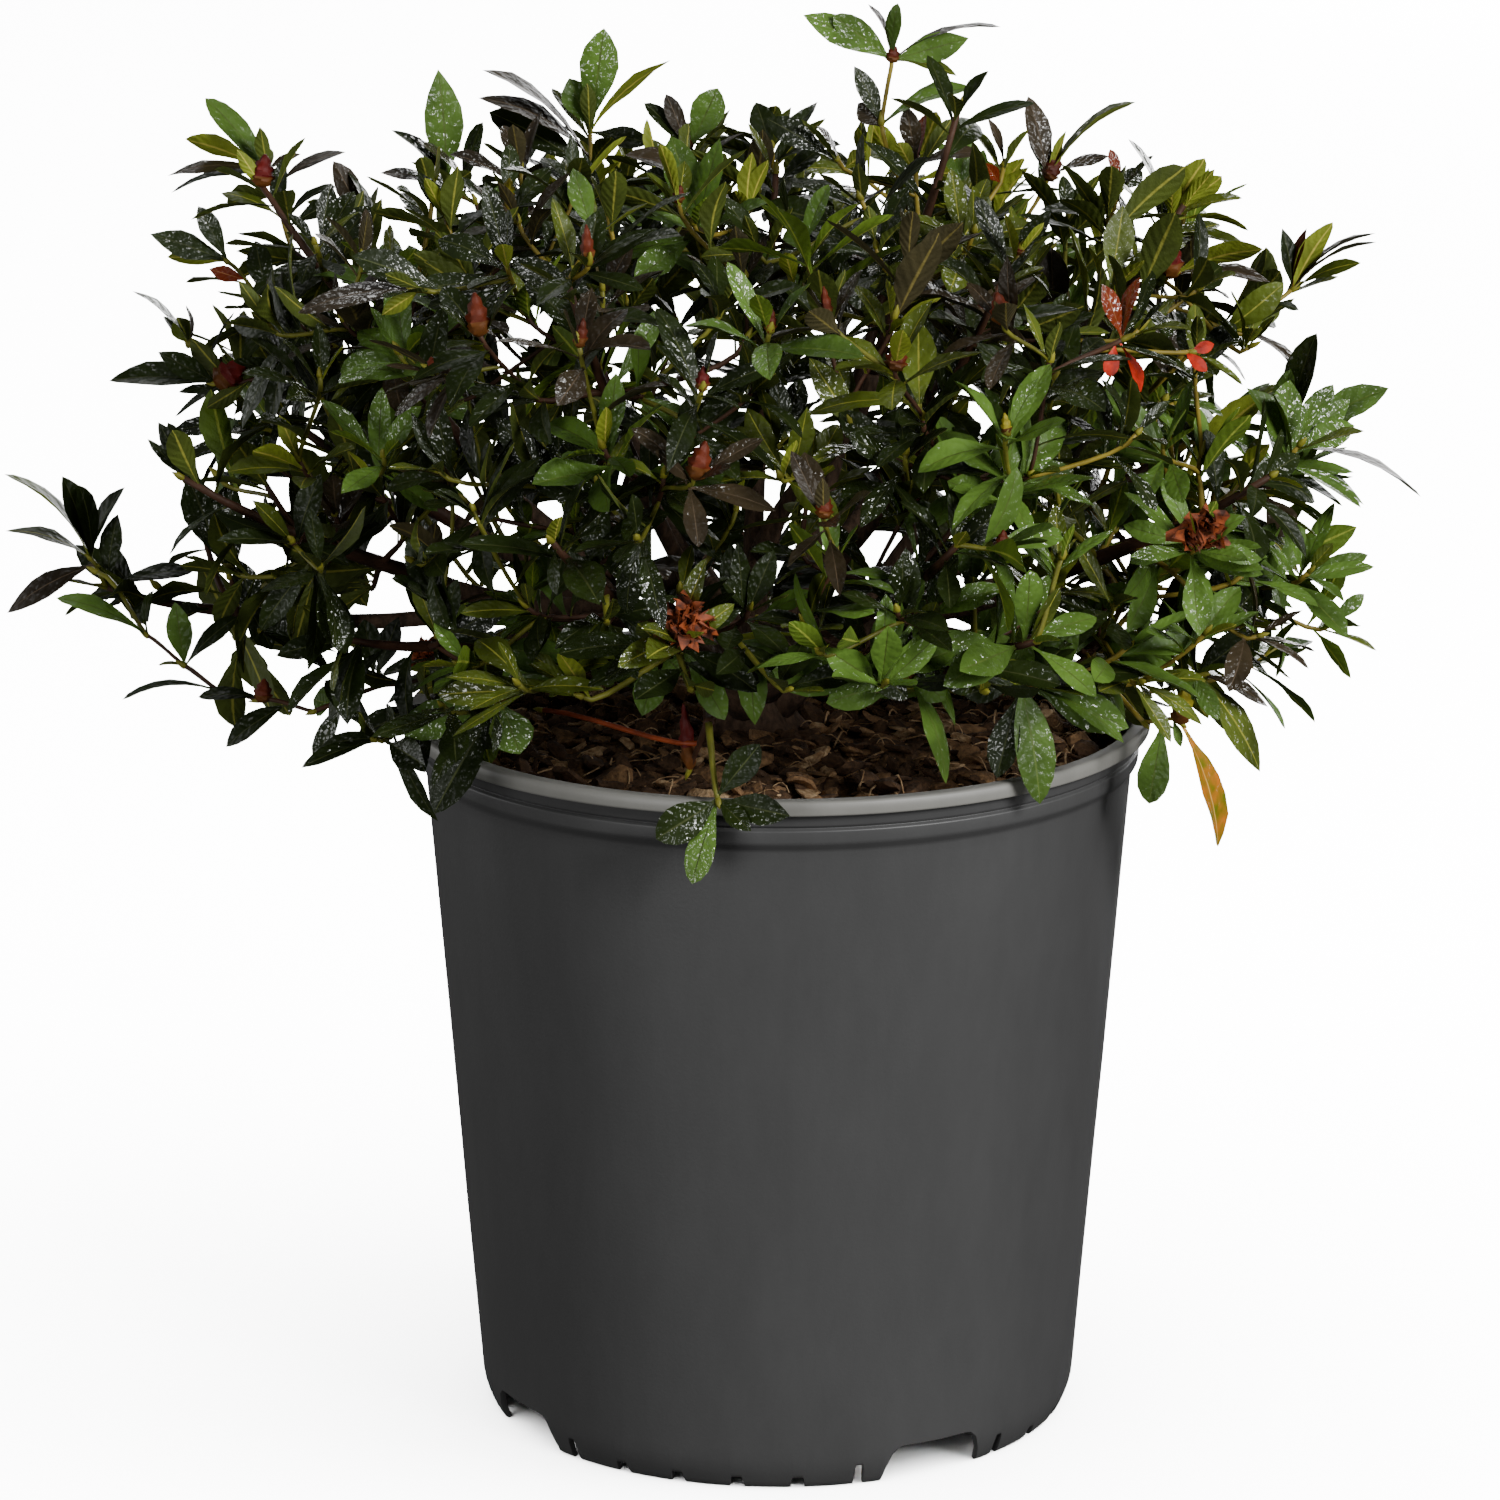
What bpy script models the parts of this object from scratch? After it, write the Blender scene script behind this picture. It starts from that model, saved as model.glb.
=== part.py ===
"""A reblooming azalea in a two gallon nursery pot.

The origin is the centre of the pot's foot, on the ground, with +Z up. +X is to the right and +Y to
the back of the plant, seen from its front. Lengths are metres, and a name ending in DEG is degrees.
"""

import math
import random
from collections import namedtuple

import bmesh
import bpy
from mathutils import Vector
from mathutils.bvhtree import BVHTree

MM = 0.001
CLEAR = 0.3 * MM
UP = Vector((0, 0, 1))
GOLDEN_ANGLE = math.pi * (3 - math.sqrt(5))

# The pot: a thin blow moulded wall, a rolled lip, a collar under it and a toothed foot.
RIM_RADIUS = 0.115
POT_HEIGHT = 0.222
LIP_WIDTH = 0.0052
LIP_DROP = 0.0045
COLLAR_RADIUS = 0.1117
COLLAR_DEPTH = 0.016
WALL_TOP_RADIUS = 0.1092
WALL_FOOT_RADIUS = 0.0935
WALL_THICKNESS = 0.002
FOOT_ROUND = 0.009
FLOOR_UNDERSIDE = 0.008
FLOOR_TOP = 0.0102
PAD_RADIUS = 0.028
POT_SIDES = 48

# The foot's gaps: four wide drain gaps, with six small ones between each two.
DRAIN_FIRST_DEG = -59.0
DRAIN_WIDTH = 0.036
DRAIN_HEIGHT = 0.0115
SMALL_GAPS = 6
SMALL_GAP_FIRST_DEG = 15.8
SMALL_GAP_PITCH_DEG = 11.7
SMALL_GAP_WIDTH = 0.0044
SMALL_GAP_HEIGHT = 0.0034
END_GAP_WIDTH = 0.0032
END_GAP_HEIGHT = 0.0068

# The potting mix, heaped a little round the plant's foot.
MIX_EDGE_HEIGHT = 0.2105
MIX_HEAP = 0.005
MIX_LUMP = 0.0016
MIX_SIDES = 28
MIX_RINGS = 4

# The short trunk stands on a level patch of the mix.
TRUNK_X = -0.008
TRUNK_HEIGHT = 0.024
TRUNK_FLARE_RADIUS = 0.0165
TRUNK_RADIUS = 0.0105
TRUNK_LEAN = 0.0008
TRUNK_SIDES = 16
LEVEL_PATCH_RADIUS = 0.026
TRUNK_FOOT = MIX_EDGE_HEIGHT + MIX_HEAP + CLEAR

# Main stems leave the trunk one to a sector and end in a side mass. Vigour scales a sector's reach.
Sector = namedtuple("Sector", "name azimuth_deg vigour")
SECTORS = (
    Sector("right_back", 20, 1.00),
    Sector("back_right", 65, 0.96),
    Sector("back_left", 112, 0.96),
    Sector("left_back", 158, 1.04),
    Sector("left_front", 203, 1.10),
    Sector("front_left", 248, 0.95),
    Sector("front_right", 293, 0.93),
    Sector("right_front", 338, 1.02),
)
STEM_RADIUS = 0.0042
STEM_TIP_RADIUS = 0.0026
STEM_SIDES = 7
BRANCH_RADIUS = 0.0029
BRANCH_TIP_RADIUS = 0.0021
BRANCH_SIDES = 5
STEM_RISE_DEG = 48

# A tier of masses: how far from the trunk and how high a bough ends there, how far the leaf tips
# reach on from that end, and how steeply.
Tier = namedtuple("Tier", "spread height reach rise_deg")
SIDE_TIER = Tier(0.096, 0.272, 0.104, 28)
LOW_TIER = Tier(0.098, 0.243, 0.086, 4)
TOP_TIER = Tier(0.078, 0.304, 0.118, 56)
TOP_FIRST_DEG = 5
TOP_COUNT = 6
TOP_SHARE = 0.42
LOW_TURN_DEG = 11
LOW_SHARE = 0.5
FRONT_LOW_LIFT = 0.022
FRONT_LOW_CUT = 0.1

# The centre stem goes straight up from the trunk's fork.
CENTRE_TIP = (80, 0.010, 0.300)
CENTRE_HEADING_DEG = (60, 80)
CENTRE_REACH = 0.112

# Arms reach out of the dome: each is a branch of a stem, and carries a mass of its own.
Arm = namedtuple("Arm", "name carrier share azimuth_deg spread height heading_deg rise_deg lift reach")
ARMS = (
    Arm("top_sprig", "centre", 0.55, -25, 0.040, 0.330, -10, 80, 0.9, 0.112),
    Arm("left_arm", "left_back", 0.55, 181, 0.150, 0.252, 182, 8, -0.1, 0.080),
    Arm("right_arm", "right_front", 0.60, 357, 0.108, 0.272, 357, 24, 0.1, 0.096),
    Arm("front_spill", "front_left", 0.36, 262, 0.090, 0.243, 268, -8, -0.3, 0.070),
)

# The crown: a broad dome, flat on top, that the masses share out among them. Its middle is its
# widest level, and its corners are squarer than an ellipse's.
CROWN_MIDDLE = Vector((TRUNK_X, 0, 0.290))
CROWN_TO_LEFT = 0.192
CROWN_TO_RIGHT = 0.196
CROWN_TO_BACK = 0.182
CROWN_TO_FRONT = 0.176
CROWN_UP = 0.128
CROWN_DOWN = 0.096
CROWN_SQUARENESS = 3.4
CROWN_HOLLOW = 0.58

# Leaders: shoots that stand out of the dome and give the plant its own outline.
Leader = namedtuple("Leader", "x y z azimuth_deg rise_deg")
LEADERS = (
    Leader(-0.160, 0.040, 0.378, 150, 58),
    Leader(-0.170, 0.010, 0.348, 175, 25),
    Leader(-0.167, -0.020, 0.333, 190, 5),
    Leader(-0.101, 0.060, 0.390, 100, 70),
    Leader(-0.059, 0.060, 0.394, 95, 78),
    Leader(-0.030, 0.040, 0.388, 60, 65),
    Leader(0.032, 0.000, 0.405, 350, 84),
    Leader(0.088, 0.060, 0.385, 50, 40),
    Leader(0.127, 0.040, 0.372, 30, 45),
    Leader(0.156, 0.020, 0.354, 10, 35),
    Leader(0.153, 0.000, 0.308, 5, 22),
    Leader(0.122, -0.060, 0.236, 330, -48),
    Leader(-0.206, -0.010, 0.271, 176, 20),
    Leader(-0.172, -0.048, 0.247, 196, 10),
    Leader(-0.022, -0.119, 0.231, 265, -48),
)

# Foliage in the solids: fewer leaves than the plant has, and larger.
LEAF_LENGTH = 0.048
LEAF_HALF_WIDTH = 0.0095
LEAF_FOLD = 0.0023
LEAVES_PER_SHOOT = 5
SHOOT_SPACING = 0.034
SHOOT_INSET = 0.016
CHANCE_POINTS = 260
FIRST_TWIG = 0.006
LEAF_TRIES = 9
STALK_SHARE = 0.2
FEWEST_LEAVES = 2
MOST_SHOOTS = 6
TWIG_RADIUS = 0.0016
TWIG_TIP_RADIUS = 0.0011
ROSETTE_STEP = 0.0045
BUD = (0.017, 0.0042)
BLOOM = (0.018, 0.0078)
BLOOM_EVERY = 4
BUD_RISE = 0.3
LOWEST_DROP = 0.024
HEART_SHARE = 0.36
SPACE_MARGIN = 0.0004
LIMB_MARGIN = 0.0012

Bough = namedtuple("Bough", "name points radii toward")
Mass = namedtuple("Mass", "name foot direction reach radius seed leaves_dome")


def polar(azimuth_deg, spread, height):
    """The point at that azimuth and distance from the trunk's own axis."""
    turn = math.radians(azimuth_deg)
    return Vector((TRUNK_X + spread * math.cos(turn), spread * math.sin(turn), height))


def heading(azimuth_deg, rise_deg):
    """The unit direction of that azimuth and rise."""
    turn, rise = math.radians(azimuth_deg), math.radians(rise_deg)
    level = math.cos(rise)
    return Vector((level * math.cos(turn), level * math.sin(turn), math.sin(rise)))


def across(direction):
    """Two unit vectors square to a direction and to each other."""
    aside = direction.cross(UP)
    if aside.length < 0.05:
        aside = direction.cross(Vector((1, 0, 0)))
    aside.normalize()
    return aside, aside.cross(direction).normalized()


def curve_points(start, leaving, end, arriving, steps, bend=0.38):
    """Points along a cubic that leaves and arrives in the given directions."""
    span = (end - start).length * bend
    second, third = start + leaving * span, end - arriving * span
    points = []
    for i in range(steps + 1):
        t = i / steps
        s = 1 - t
        points.append(start * s**3 + second * 3 * s * s * t + third * 3 * s * t * t + end * t**3)
    return points


def tapered(first, last, count):
    return [first + (last - first) * i / (count - 1) for i in range(count)]


def clear_scene():
    for obj in list(bpy.data.objects):
        bpy.data.objects.remove(obj, do_unlink=True)


def make_material(name, colour, roughness):
    material = bpy.data.materials.new(name)
    material.use_nodes = True
    shader = material.node_tree.nodes["Principled BSDF"]
    shader.inputs["Base Color"].default_value = (*colour, 1)
    shader.inputs["Roughness"].default_value = roughness
    shader.inputs["Metallic"].default_value = 0
    return material


def add_object(name, bm, material=None):
    """Puts the bmesh into a new object at the origin and frees it."""
    mesh = bpy.data.meshes.new(name)
    bm.to_mesh(mesh)
    bm.free()
    if material:
        mesh.materials.append(material)
    obj = bpy.data.objects.new(name, mesh)
    bpy.context.scene.collection.objects.link(obj)
    return obj


def shade_round(obj, sharp_deg=40):
    obj.data.shade_smooth()
    obj.data.set_sharp_from_angle(angle=math.radians(sharp_deg))


def spun(profile, sides):
    """A closed shape turned about the Z axis from (radius, height) pairs."""
    bm = bmesh.new()
    verts = [bm.verts.new((radius, 0, height)) for radius, height in profile]
    edges = [bm.edges.new(pair) for pair in zip(verts, verts[1:])]
    if profile[0][0] > 0 or profile[-1][0] > 0:
        edges.append(bm.edges.new((verts[-1], verts[0])))
    bmesh.ops.spin(
        bm, geom=verts + edges, cent=(0, 0, 0), axis=(0, 0, 1),
        angle=2 * math.pi, steps=sides, use_merge=True,
    )
    bmesh.ops.remove_doubles(bm, verts=bm.verts, dist=0.01 * MM)
    bmesh.ops.recalc_face_normals(bm, faces=bm.faces)
    return bm


def tube(points, radii, sides, level=False, toward=None):
    """A tapering limb along the points, with a flat cap at each end: square to it, or level. A
    corner of its first ring faces the given way, so that it seats closely on its carrier."""
    bm = bmesh.new()
    rings = []
    aside = toward or across((points[1] - points[0]).normalized())[0]
    for i, (point, radius) in enumerate(zip(points, radii)):
        along = (points[min(i + 1, len(points) - 1)] - points[max(i - 1, 0)]).normalized()
        if level:
            along = UP
        aside = (aside - along * aside.dot(along)).normalized()
        other = along.cross(aside)
        ring = []
        for k in range(sides):
            turn = 2 * math.pi * k / sides
            ring.append(bm.verts.new(point + (aside * math.cos(turn) + other * math.sin(turn)) * radius))
        rings.append(ring)
    for lower, upper in zip(rings, rings[1:]):
        for k in range(sides):
            n = (k + 1) % sides
            bm.faces.new((lower[k], lower[n], upper[n], upper[k]))
    bm.faces.new(rings[0][::-1])
    bm.faces.new(rings[-1])
    return bm


def wall_radius(height):
    """The outside radius of the pot's plain wall, which tapers evenly from the collar to the foot."""
    top = POT_HEIGHT - COLLAR_DEPTH
    share = (height - FOOT_ROUND) / (top - FOOT_ROUND)
    return WALL_FOOT_RADIUS + (WALL_TOP_RADIUS - WALL_FOOT_RADIUS) * share


def pot_profile():
    """The pot's section, from the centre of its foot pad round the outside and back down the inside."""
    lip_under = POT_HEIGHT - LIP_DROP
    collar_foot = POT_HEIGHT - COLLAR_DEPTH
    skirt_inside = WALL_FOOT_RADIUS - WALL_THICKNESS - 2.8 * MM
    outside = [
        (0, 0),
        (PAD_RADIUS, 0),
        (PAD_RADIUS + 5 * MM, FLOOR_UNDERSIDE),
        (skirt_inside, FLOOR_UNDERSIDE),
        (skirt_inside, 0),
        (WALL_FOOT_RADIUS - 2.4 * MM, 0),
        (WALL_FOOT_RADIUS - 0.9 * MM, FOOT_ROUND * 0.45),
        (wall_radius(FOOT_ROUND), FOOT_ROUND),
        (wall_radius(collar_foot), collar_foot),
        (COLLAR_RADIUS - 0.6 * MM, collar_foot + 2.2 * MM),
        (COLLAR_RADIUS, lip_under),
        (RIM_RADIUS, lip_under),
        (RIM_RADIUS, POT_HEIGHT - 1 * MM),
        (RIM_RADIUS - 1 * MM, POT_HEIGHT),
        (RIM_RADIUS - LIP_WIDTH, POT_HEIGHT),
    ]
    inside = [
        (wall_radius(collar_foot) - WALL_THICKNESS, collar_foot),
        (WALL_FOOT_RADIUS - WALL_THICKNESS, FLOOR_TOP + 2 * MM),
        (WALL_FOOT_RADIUS - WALL_THICKNESS - 2 * MM, FLOOR_TOP),
        (PAD_RADIUS + 3 * MM, FLOOR_TOP),
        (PAD_RADIUS - 1 * MM, WALL_THICKNESS),
        (0, WALL_THICKNESS),
    ]
    return outside + inside


def gap_prism(bm, azimuth_deg, width, height):
    """One gap in the foot: an outline with eased upper corners, pushed out through the skirt."""
    turn = math.radians(azimuth_deg)
    outward = Vector((math.cos(turn), math.sin(turn), 0))
    aside = Vector((-outward.y, outward.x, 0))
    below = -2 * MM
    outline = [
        (-0.5, below), (0.5, below), (0.44, 0.55 * height), (0.33, height),
        (-0.33, height), (-0.44, 0.55 * height),
    ]
    inner_radius, outer_radius = WALL_FOOT_RADIUS - 12 * MM, WALL_FOOT_RADIUS + 6 * MM
    verts = [
        bm.verts.new(outward * inner_radius + aside * width * share + UP * level)
        for share, level in outline
    ]
    face = bm.faces.new(verts)
    pushed = bmesh.ops.extrude_face_region(bm, geom=[face])
    moved = [item for item in pushed["geom"] if isinstance(item, bmesh.types.BMVert)]
    bmesh.ops.translate(bm, verts=moved, vec=outward * (outer_radius - inner_radius))


def build_foot_gaps():
    """The cutter that opens the foot: a wide drain gap and six small gaps in each quarter."""
    bm = bmesh.new()
    for quarter in range(4):
        drain_deg = DRAIN_FIRST_DEG + 90 * quarter
        gap_prism(bm, drain_deg, DRAIN_WIDTH, DRAIN_HEIGHT)
        for i in range(SMALL_GAPS):
            azimuth_deg = drain_deg + SMALL_GAP_FIRST_DEG + SMALL_GAP_PITCH_DEG * i
            at_end = i in (0, SMALL_GAPS - 1)
            gap_prism(
                bm, azimuth_deg,
                END_GAP_WIDTH if at_end else SMALL_GAP_WIDTH,
                END_GAP_HEIGHT if at_end else SMALL_GAP_HEIGHT,
            )
    bmesh.ops.recalc_face_normals(bm, faces=bm.faces)
    cutter = add_object("foot_gaps", bm)
    cutter.hide_render = True
    cutter.display_type = "WIRE"
    return cutter


def build_pot():
    material = make_material("black_polyethylene", (0.036, 0.036, 0.038), 0.5)
    pot = add_object("pot", spun(pot_profile(), POT_SIDES), material)
    shade_round(pot, 25)
    cut = pot.modifiers.new("foot_gaps", "BOOLEAN")
    cut.operation = "DIFFERENCE"
    cut.solver = "EXACT"
    cut.object = build_foot_gaps()


def mix_height(x, y):
    """Height of the potting mix: a low heap with bark lumps, level round the trunk."""
    from_trunk = math.hypot(x - TRUNK_X, y)
    edge = min(1.0, math.hypot(x, y) / (WALL_TOP_RADIUS - WALL_THICKNESS))
    heap = MIX_HEAP * (1 - edge**2)
    lump = math.sin(x * 190 + 1.3) * math.cos(y * 170 - 0.4) + 0.6 * math.sin(x * 410 - y * 350)
    settle = min(1.0, max(0.0, (from_trunk - LEVEL_PATCH_RADIUS) / (20 * MM)))
    loose = MIX_EDGE_HEIGHT + heap + MIX_LUMP * lump
    return loose * settle + (MIX_EDGE_HEIGHT + MIX_HEAP) * (1 - settle)


def build_potting_mix():
    """A plug that fills the pot, a clearance inside its wall, under a lumpy top."""
    facet_sag = math.cos(math.pi / POT_SIDES)
    collar_foot = POT_HEIGHT - COLLAR_DEPTH
    top_radius = (wall_radius(collar_foot) - WALL_THICKNESS) * facet_sag - CLEAR
    low_radius = (WALL_FOOT_RADIUS - WALL_THICKNESS) * facet_sag - CLEAR
    bottom = FLOOR_TOP + CLEAR
    bm = bmesh.new()

    def ring(radius, height):
        verts = []
        for k in range(MIX_SIDES):
            turn = 2 * math.pi * k / MIX_SIDES
            x, y = radius * math.cos(turn), radius * math.sin(turn)
            verts.append(bm.verts.new((x, y, mix_height(x, y) if height is None else height)))
        return verts

    rings = [ring(low_radius - 2.2 * MM, bottom), ring(low_radius, bottom + 2.2 * MM)]
    rings.append(ring(top_radius, collar_foot))
    centre = Vector((TRUNK_X, 0, 0))
    for step in range(MIX_RINGS):
        share = 1 - step / MIX_RINGS
        shifted = ring(top_radius * share, None)
        for vert in shifted:
            vert.co += centre * (1 - share)
            vert.co.z = mix_height(vert.co.x, vert.co.y)
        rings.append(shifted)
    for lower, upper in zip(rings, rings[1:]):
        for k in range(MIX_SIDES):
            n = (k + 1) % MIX_SIDES
            bm.faces.new((lower[k], lower[n], upper[n], upper[k]))
    bm.faces.new(rings[0][::-1])
    bm.faces.new(rings[-1])
    material = make_material("bark_mix", (0.035, 0.020, 0.012), 0.95)
    add_object("potting_mix", bm, material)


def trunk_axis(height):
    """The trunk's centre at a height above its foot: it leans a little to the right."""
    share = height / TRUNK_HEIGHT
    return Vector((TRUNK_X + TRUNK_LEAN * share, 0, TRUNK_FOOT + height))


def trunk_radius(height):
    """Root flare at the foot that runs out by half height, then a slight taper to the fork."""
    share = height / TRUNK_HEIGHT
    flare = (TRUNK_FLARE_RADIUS - TRUNK_RADIUS) * max(0.0, 1 - share / 0.5) ** 2
    return TRUNK_RADIUS * (1.04 - 0.08 * share) + flare


def build_trunk(bark):
    steps = 6
    heights = [TRUNK_HEIGHT * i / steps for i in range(steps + 1)]
    points = [trunk_axis(height) for height in heights]
    radii = [trunk_radius(height) for height in heights]
    add_object("trunk", tube(points, radii, TRUNK_SIDES, level=True), bark)


def seat(axis_point, axis_along, carrier_radius, leaving, radius):
    """Where a limb starts beside its carrier, so that the edge of its cap is a clearance away, and
    the way from there back to the carrier."""
    out = (leaving - axis_along * leaving.dot(axis_along)).normalized()
    tilt = math.sqrt(max(0.0, 1 - leaving.dot(out) ** 2))
    return axis_point + out * (carrier_radius + CLEAR + radius * tilt), -out


def at_share(bough, share):
    """The axis point, direction and radius of a bough at a share of its length."""
    place = share * (len(bough.points) - 1)
    i = min(int(place), len(bough.points) - 2)
    part = place - i
    point = bough.points[i].lerp(bough.points[i + 1], part)
    along = (bough.points[i + 1] - bough.points[i]).normalized()
    return point, along, bough.radii[i] + (bough.radii[i + 1] - bough.radii[i]) * part


def main_stem(index, sector, end, direction):
    """A main stem: it leaves the trunk's side steeply and leans out to its side mass."""
    level = TRUNK_HEIGHT * (0.62 if index % 2 else 0.86)
    leaving = heading(sector.azimuth_deg, STEM_RISE_DEG)
    start, toward = seat(trunk_axis(level), UP, trunk_radius(level), leaving, STEM_RADIUS)
    points = curve_points(start, leaving, end, direction, 6)
    radii = tapered(STEM_RADIUS, STEM_TIP_RADIUS, len(points))
    return Bough("stem_" + sector.name, points, radii, toward)


def side_branch(name, carrier, share, end, direction, lift):
    """A branch from the side of a carrier. Lift says how far it leaves upwards or downwards."""
    point, along, carrier_radius = at_share(carrier, share)
    leaving = ((end - point).normalized() + UP * lift).normalized()
    start, toward = seat(point, along, carrier_radius, leaving, BRANCH_RADIUS)
    points = curve_points(start, leaving, end, direction, 5)
    radii = tapered(BRANCH_RADIUS, BRANCH_TIP_RADIUS, len(points))
    return Bough("bough_" + name, points, radii, toward)


def mass_on(bough, reach, seed, leaves_dome):
    """The mass of foliage whose stem carries on from a bough's tip, a clearance beyond it."""
    direction = (bough.points[-1] - bough.points[-2]).normalized()
    name = "foliage_" + bough.name.split("_", 1)[1]
    foot = bough.points[-1] + direction * CLEAR
    return Mass(name, foot, direction, reach, bough.radii[-1], seed, leaves_dome)


def centre_stem():
    start = trunk_axis(TRUNK_HEIGHT) + UP * CLEAR
    points = curve_points(start, UP, polar(*CENTRE_TIP), heading(*CENTRE_HEADING_DEG), 5)
    return Bough("stem_centre", points, tapered(STEM_RADIUS, STEM_TIP_RADIUS, len(points)), None)


def low_branch(sector, stem):
    """A low branch and how far its mass reaches. At the front it is lifted off the pot's rim."""
    azimuth_deg = sector.azimuth_deg + LOW_TURN_DEG
    frontward = max(0.0, -math.sin(math.radians(azimuth_deg)))
    end = polar(azimuth_deg, LOW_TIER.spread, LOW_TIER.height + FRONT_LOW_LIFT * frontward)
    direction = heading(azimuth_deg, LOW_TIER.rise_deg)
    bough = side_branch("low_" + sector.name, stem, LOW_SHARE, end, direction, -0.1)
    return bough, LOW_TIER.reach * (1 - FRONT_LOW_CUT * frontward)


def top_branch(azimuth_deg, stems):
    """A branch up to the dome's top from the nearest stem, and how far its mass reaches."""
    def turn_to(sector):
        return abs((sector.azimuth_deg - azimuth_deg + 180) % 360 - 180)

    nearest = min(SECTORS, key=turn_to)
    end = polar(azimuth_deg, TOP_TIER.spread * nearest.vigour, TOP_TIER.height)
    direction = heading(azimuth_deg, TOP_TIER.rise_deg)
    bough = side_branch("top_" + nearest.name, stems[nearest.name], TOP_SHARE, end, direction, 0.5)
    return bough, TOP_TIER.reach * nearest.vigour


def lay_out():
    """Every bough and mass, from the sectors, the tiers and the arms."""
    boughs, masses = [], []

    def add(bough, reach, leaves_dome=False):
        boughs.append(bough)
        masses.append(mass_on(bough, reach, len(masses) + 1, leaves_dome))
        return bough

    stems = {}
    for index, sector in enumerate(SECTORS):
        end = polar(sector.azimuth_deg, SIDE_TIER.spread * sector.vigour, SIDE_TIER.height)
        direction = heading(sector.azimuth_deg, SIDE_TIER.rise_deg)
        stem = main_stem(index, sector, end, direction)
        stems[sector.name] = add(stem, SIDE_TIER.reach * sector.vigour)
    for sector in SECTORS:
        if sector.name != "left_back":
            add(*low_branch(sector, stems[sector.name]))
    for i in range(TOP_COUNT):
        add(*top_branch(TOP_FIRST_DEG + 360 / TOP_COUNT * i, stems))
    stems["centre"] = add(centre_stem(), CENTRE_REACH)
    for arm in ARMS:
        end = polar(arm.azimuth_deg, arm.spread, arm.height)
        direction = heading(arm.heading_deg, arm.rise_deg)
        branch = side_branch(arm.name, stems[arm.carrier], arm.share, end, direction, arm.lift)
        add(branch, arm.reach, leaves_dome=True)
    return boughs, masses


def crown_share(point):
    """How far out in the dome a point is: 0 at its middle and 1 at its surface."""
    out = point - CROWN_MIDDLE
    wide = CROWN_TO_RIGHT if out.x > 0 else CROWN_TO_LEFT
    deep = CROWN_TO_BACK if out.y > 0 else CROWN_TO_FRONT
    tall = CROWN_UP if out.z > 0 else CROWN_DOWN
    level = math.hypot(out.x / wide, out.y / deep)
    return (level**CROWN_SQUARENESS + abs(out.z / tall) ** CROWN_SQUARENESS) ** (1 / CROWN_SQUARENESS)


def inside_pot_zone(point):
    """True where the pot, its rim or the potting mix is, or nearly."""
    radius = math.hypot(point.x, point.y)
    near = 2.5 * MM
    if radius > RIM_RADIUS + near or point.z > POT_HEIGHT + 3 * MM:
        return False
    if radius > RIM_RADIUS - LIP_WIDTH - near:
        return True
    return point.z < mix_height(point.x, point.y) + near


def heart_of(mass):
    return mass.foot + mass.direction * mass.reach * HEART_SHARE


class Space:
    """The room of one mass: nearer to its own heart than to any other's, clear of limbs and pot."""

    def __init__(self, masses, mass, boughs):
        hearts = [heart_of(other) for other in masses]
        self.heart = hearts[masses.index(mass)]
        self.walls = []
        for other in hearts:
            if other is not self.heart:
                away = other - self.heart
                self.walls.append(((self.heart + other) / 2, away.normalized()))
        self.blades = []
        self.limb_spots = []
        for bough in boughs:
            for i in range(4 * (len(bough.points) - 1) + 1):
                point, _, radius = at_share(bough, i / (4 * (len(bough.points) - 1)))
                if (point - self.heart).length < mass.reach + LEAF_LENGTH:
                    self.limb_spots.append((point, radius))

    def claim(self, blade):
        """Takes the room of a leaf's blade or a twig, unless one that is there already crosses it."""
        tree = BVHTree.FromBMesh(blade)
        blade.free()
        if any(tree.overlap(other) for other in self.blades):
            return False
        self.blades.append(tree)
        return True

    def holds(self, point, girth):
        if any((point - middle).dot(away) > -SPACE_MARGIN for middle, away in self.walls):
            return False
        if inside_pot_zone(point):
            return False
        return all(
            (point - spot).length > radius + girth + LIMB_MARGIN for spot, radius in self.limb_spots
        )


def leaf_corners(root, along, face_up, length, half_width):
    """Root, tip and four edge points of a leaf whose blade is folded up along its midrib."""
    aside = along.cross(face_up).normalized()
    lifted = aside.cross(along).normalized() * LEAF_FOLD * length / LEAF_LENGTH
    corners = [root, root + along * length]
    for share, width in ((0.38, 0.9), (0.74, 0.82)):
        for side in (-1, 1):
            corners.append(root + along * length * share + aside * half_width * width * side + lifted)
    return corners


def leaf_spots(corners):
    """Points over a leaf at which it is tested against its space."""
    root, tip = corners[:2]
    spots = [root.lerp(tip, share) for share in (0.15, 0.3, 0.45, 0.6, 0.8, 1)]
    return spots + corners[2:] + [corners[2].lerp(corners[4], 0.5), corners[3].lerp(corners[5], 0.5)]


def hull_of(corners):
    bm = bmesh.new()
    for corner in corners:
        bm.verts.new(corner)
    bmesh.ops.convex_hull(bm, input=bm.verts)
    bmesh.ops.recalc_face_normals(bm, faces=bm.faces)
    return bm


def bud_corners(root, along, length, radius):
    """A pointed bud, or a wider faded bloom: its foot, its tip and a square waist."""
    aside, other = across(along)
    waist = root + along * length * 0.4
    ring = [waist + aside * radius, waist + other * radius]
    ring += [waist - aside * radius, waist - other * radius]
    return [root, root + along * length] + ring


def shoot_path(stem, tip, arriving, steps):
    """A side twig: it leaves the stem forwards, well before its tip, and turns to its own heading."""
    whole = stem.points[-1] - stem.points[0]
    reach = whole.length
    ahead = (tip - stem.points[0]).dot(whole) / reach
    aside = (tip - stem.points[0] - whole * ahead / reach).length
    share = min(0.82, max(FIRST_TWIG / reach, (ahead - 0.75 * aside) / reach))
    point, along, _ = at_share(stem, share)
    leaving = ((tip - point).normalized() + along * 0.4).normalized()
    return curve_points(point, leaving, tip, arriving, steps)


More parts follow.
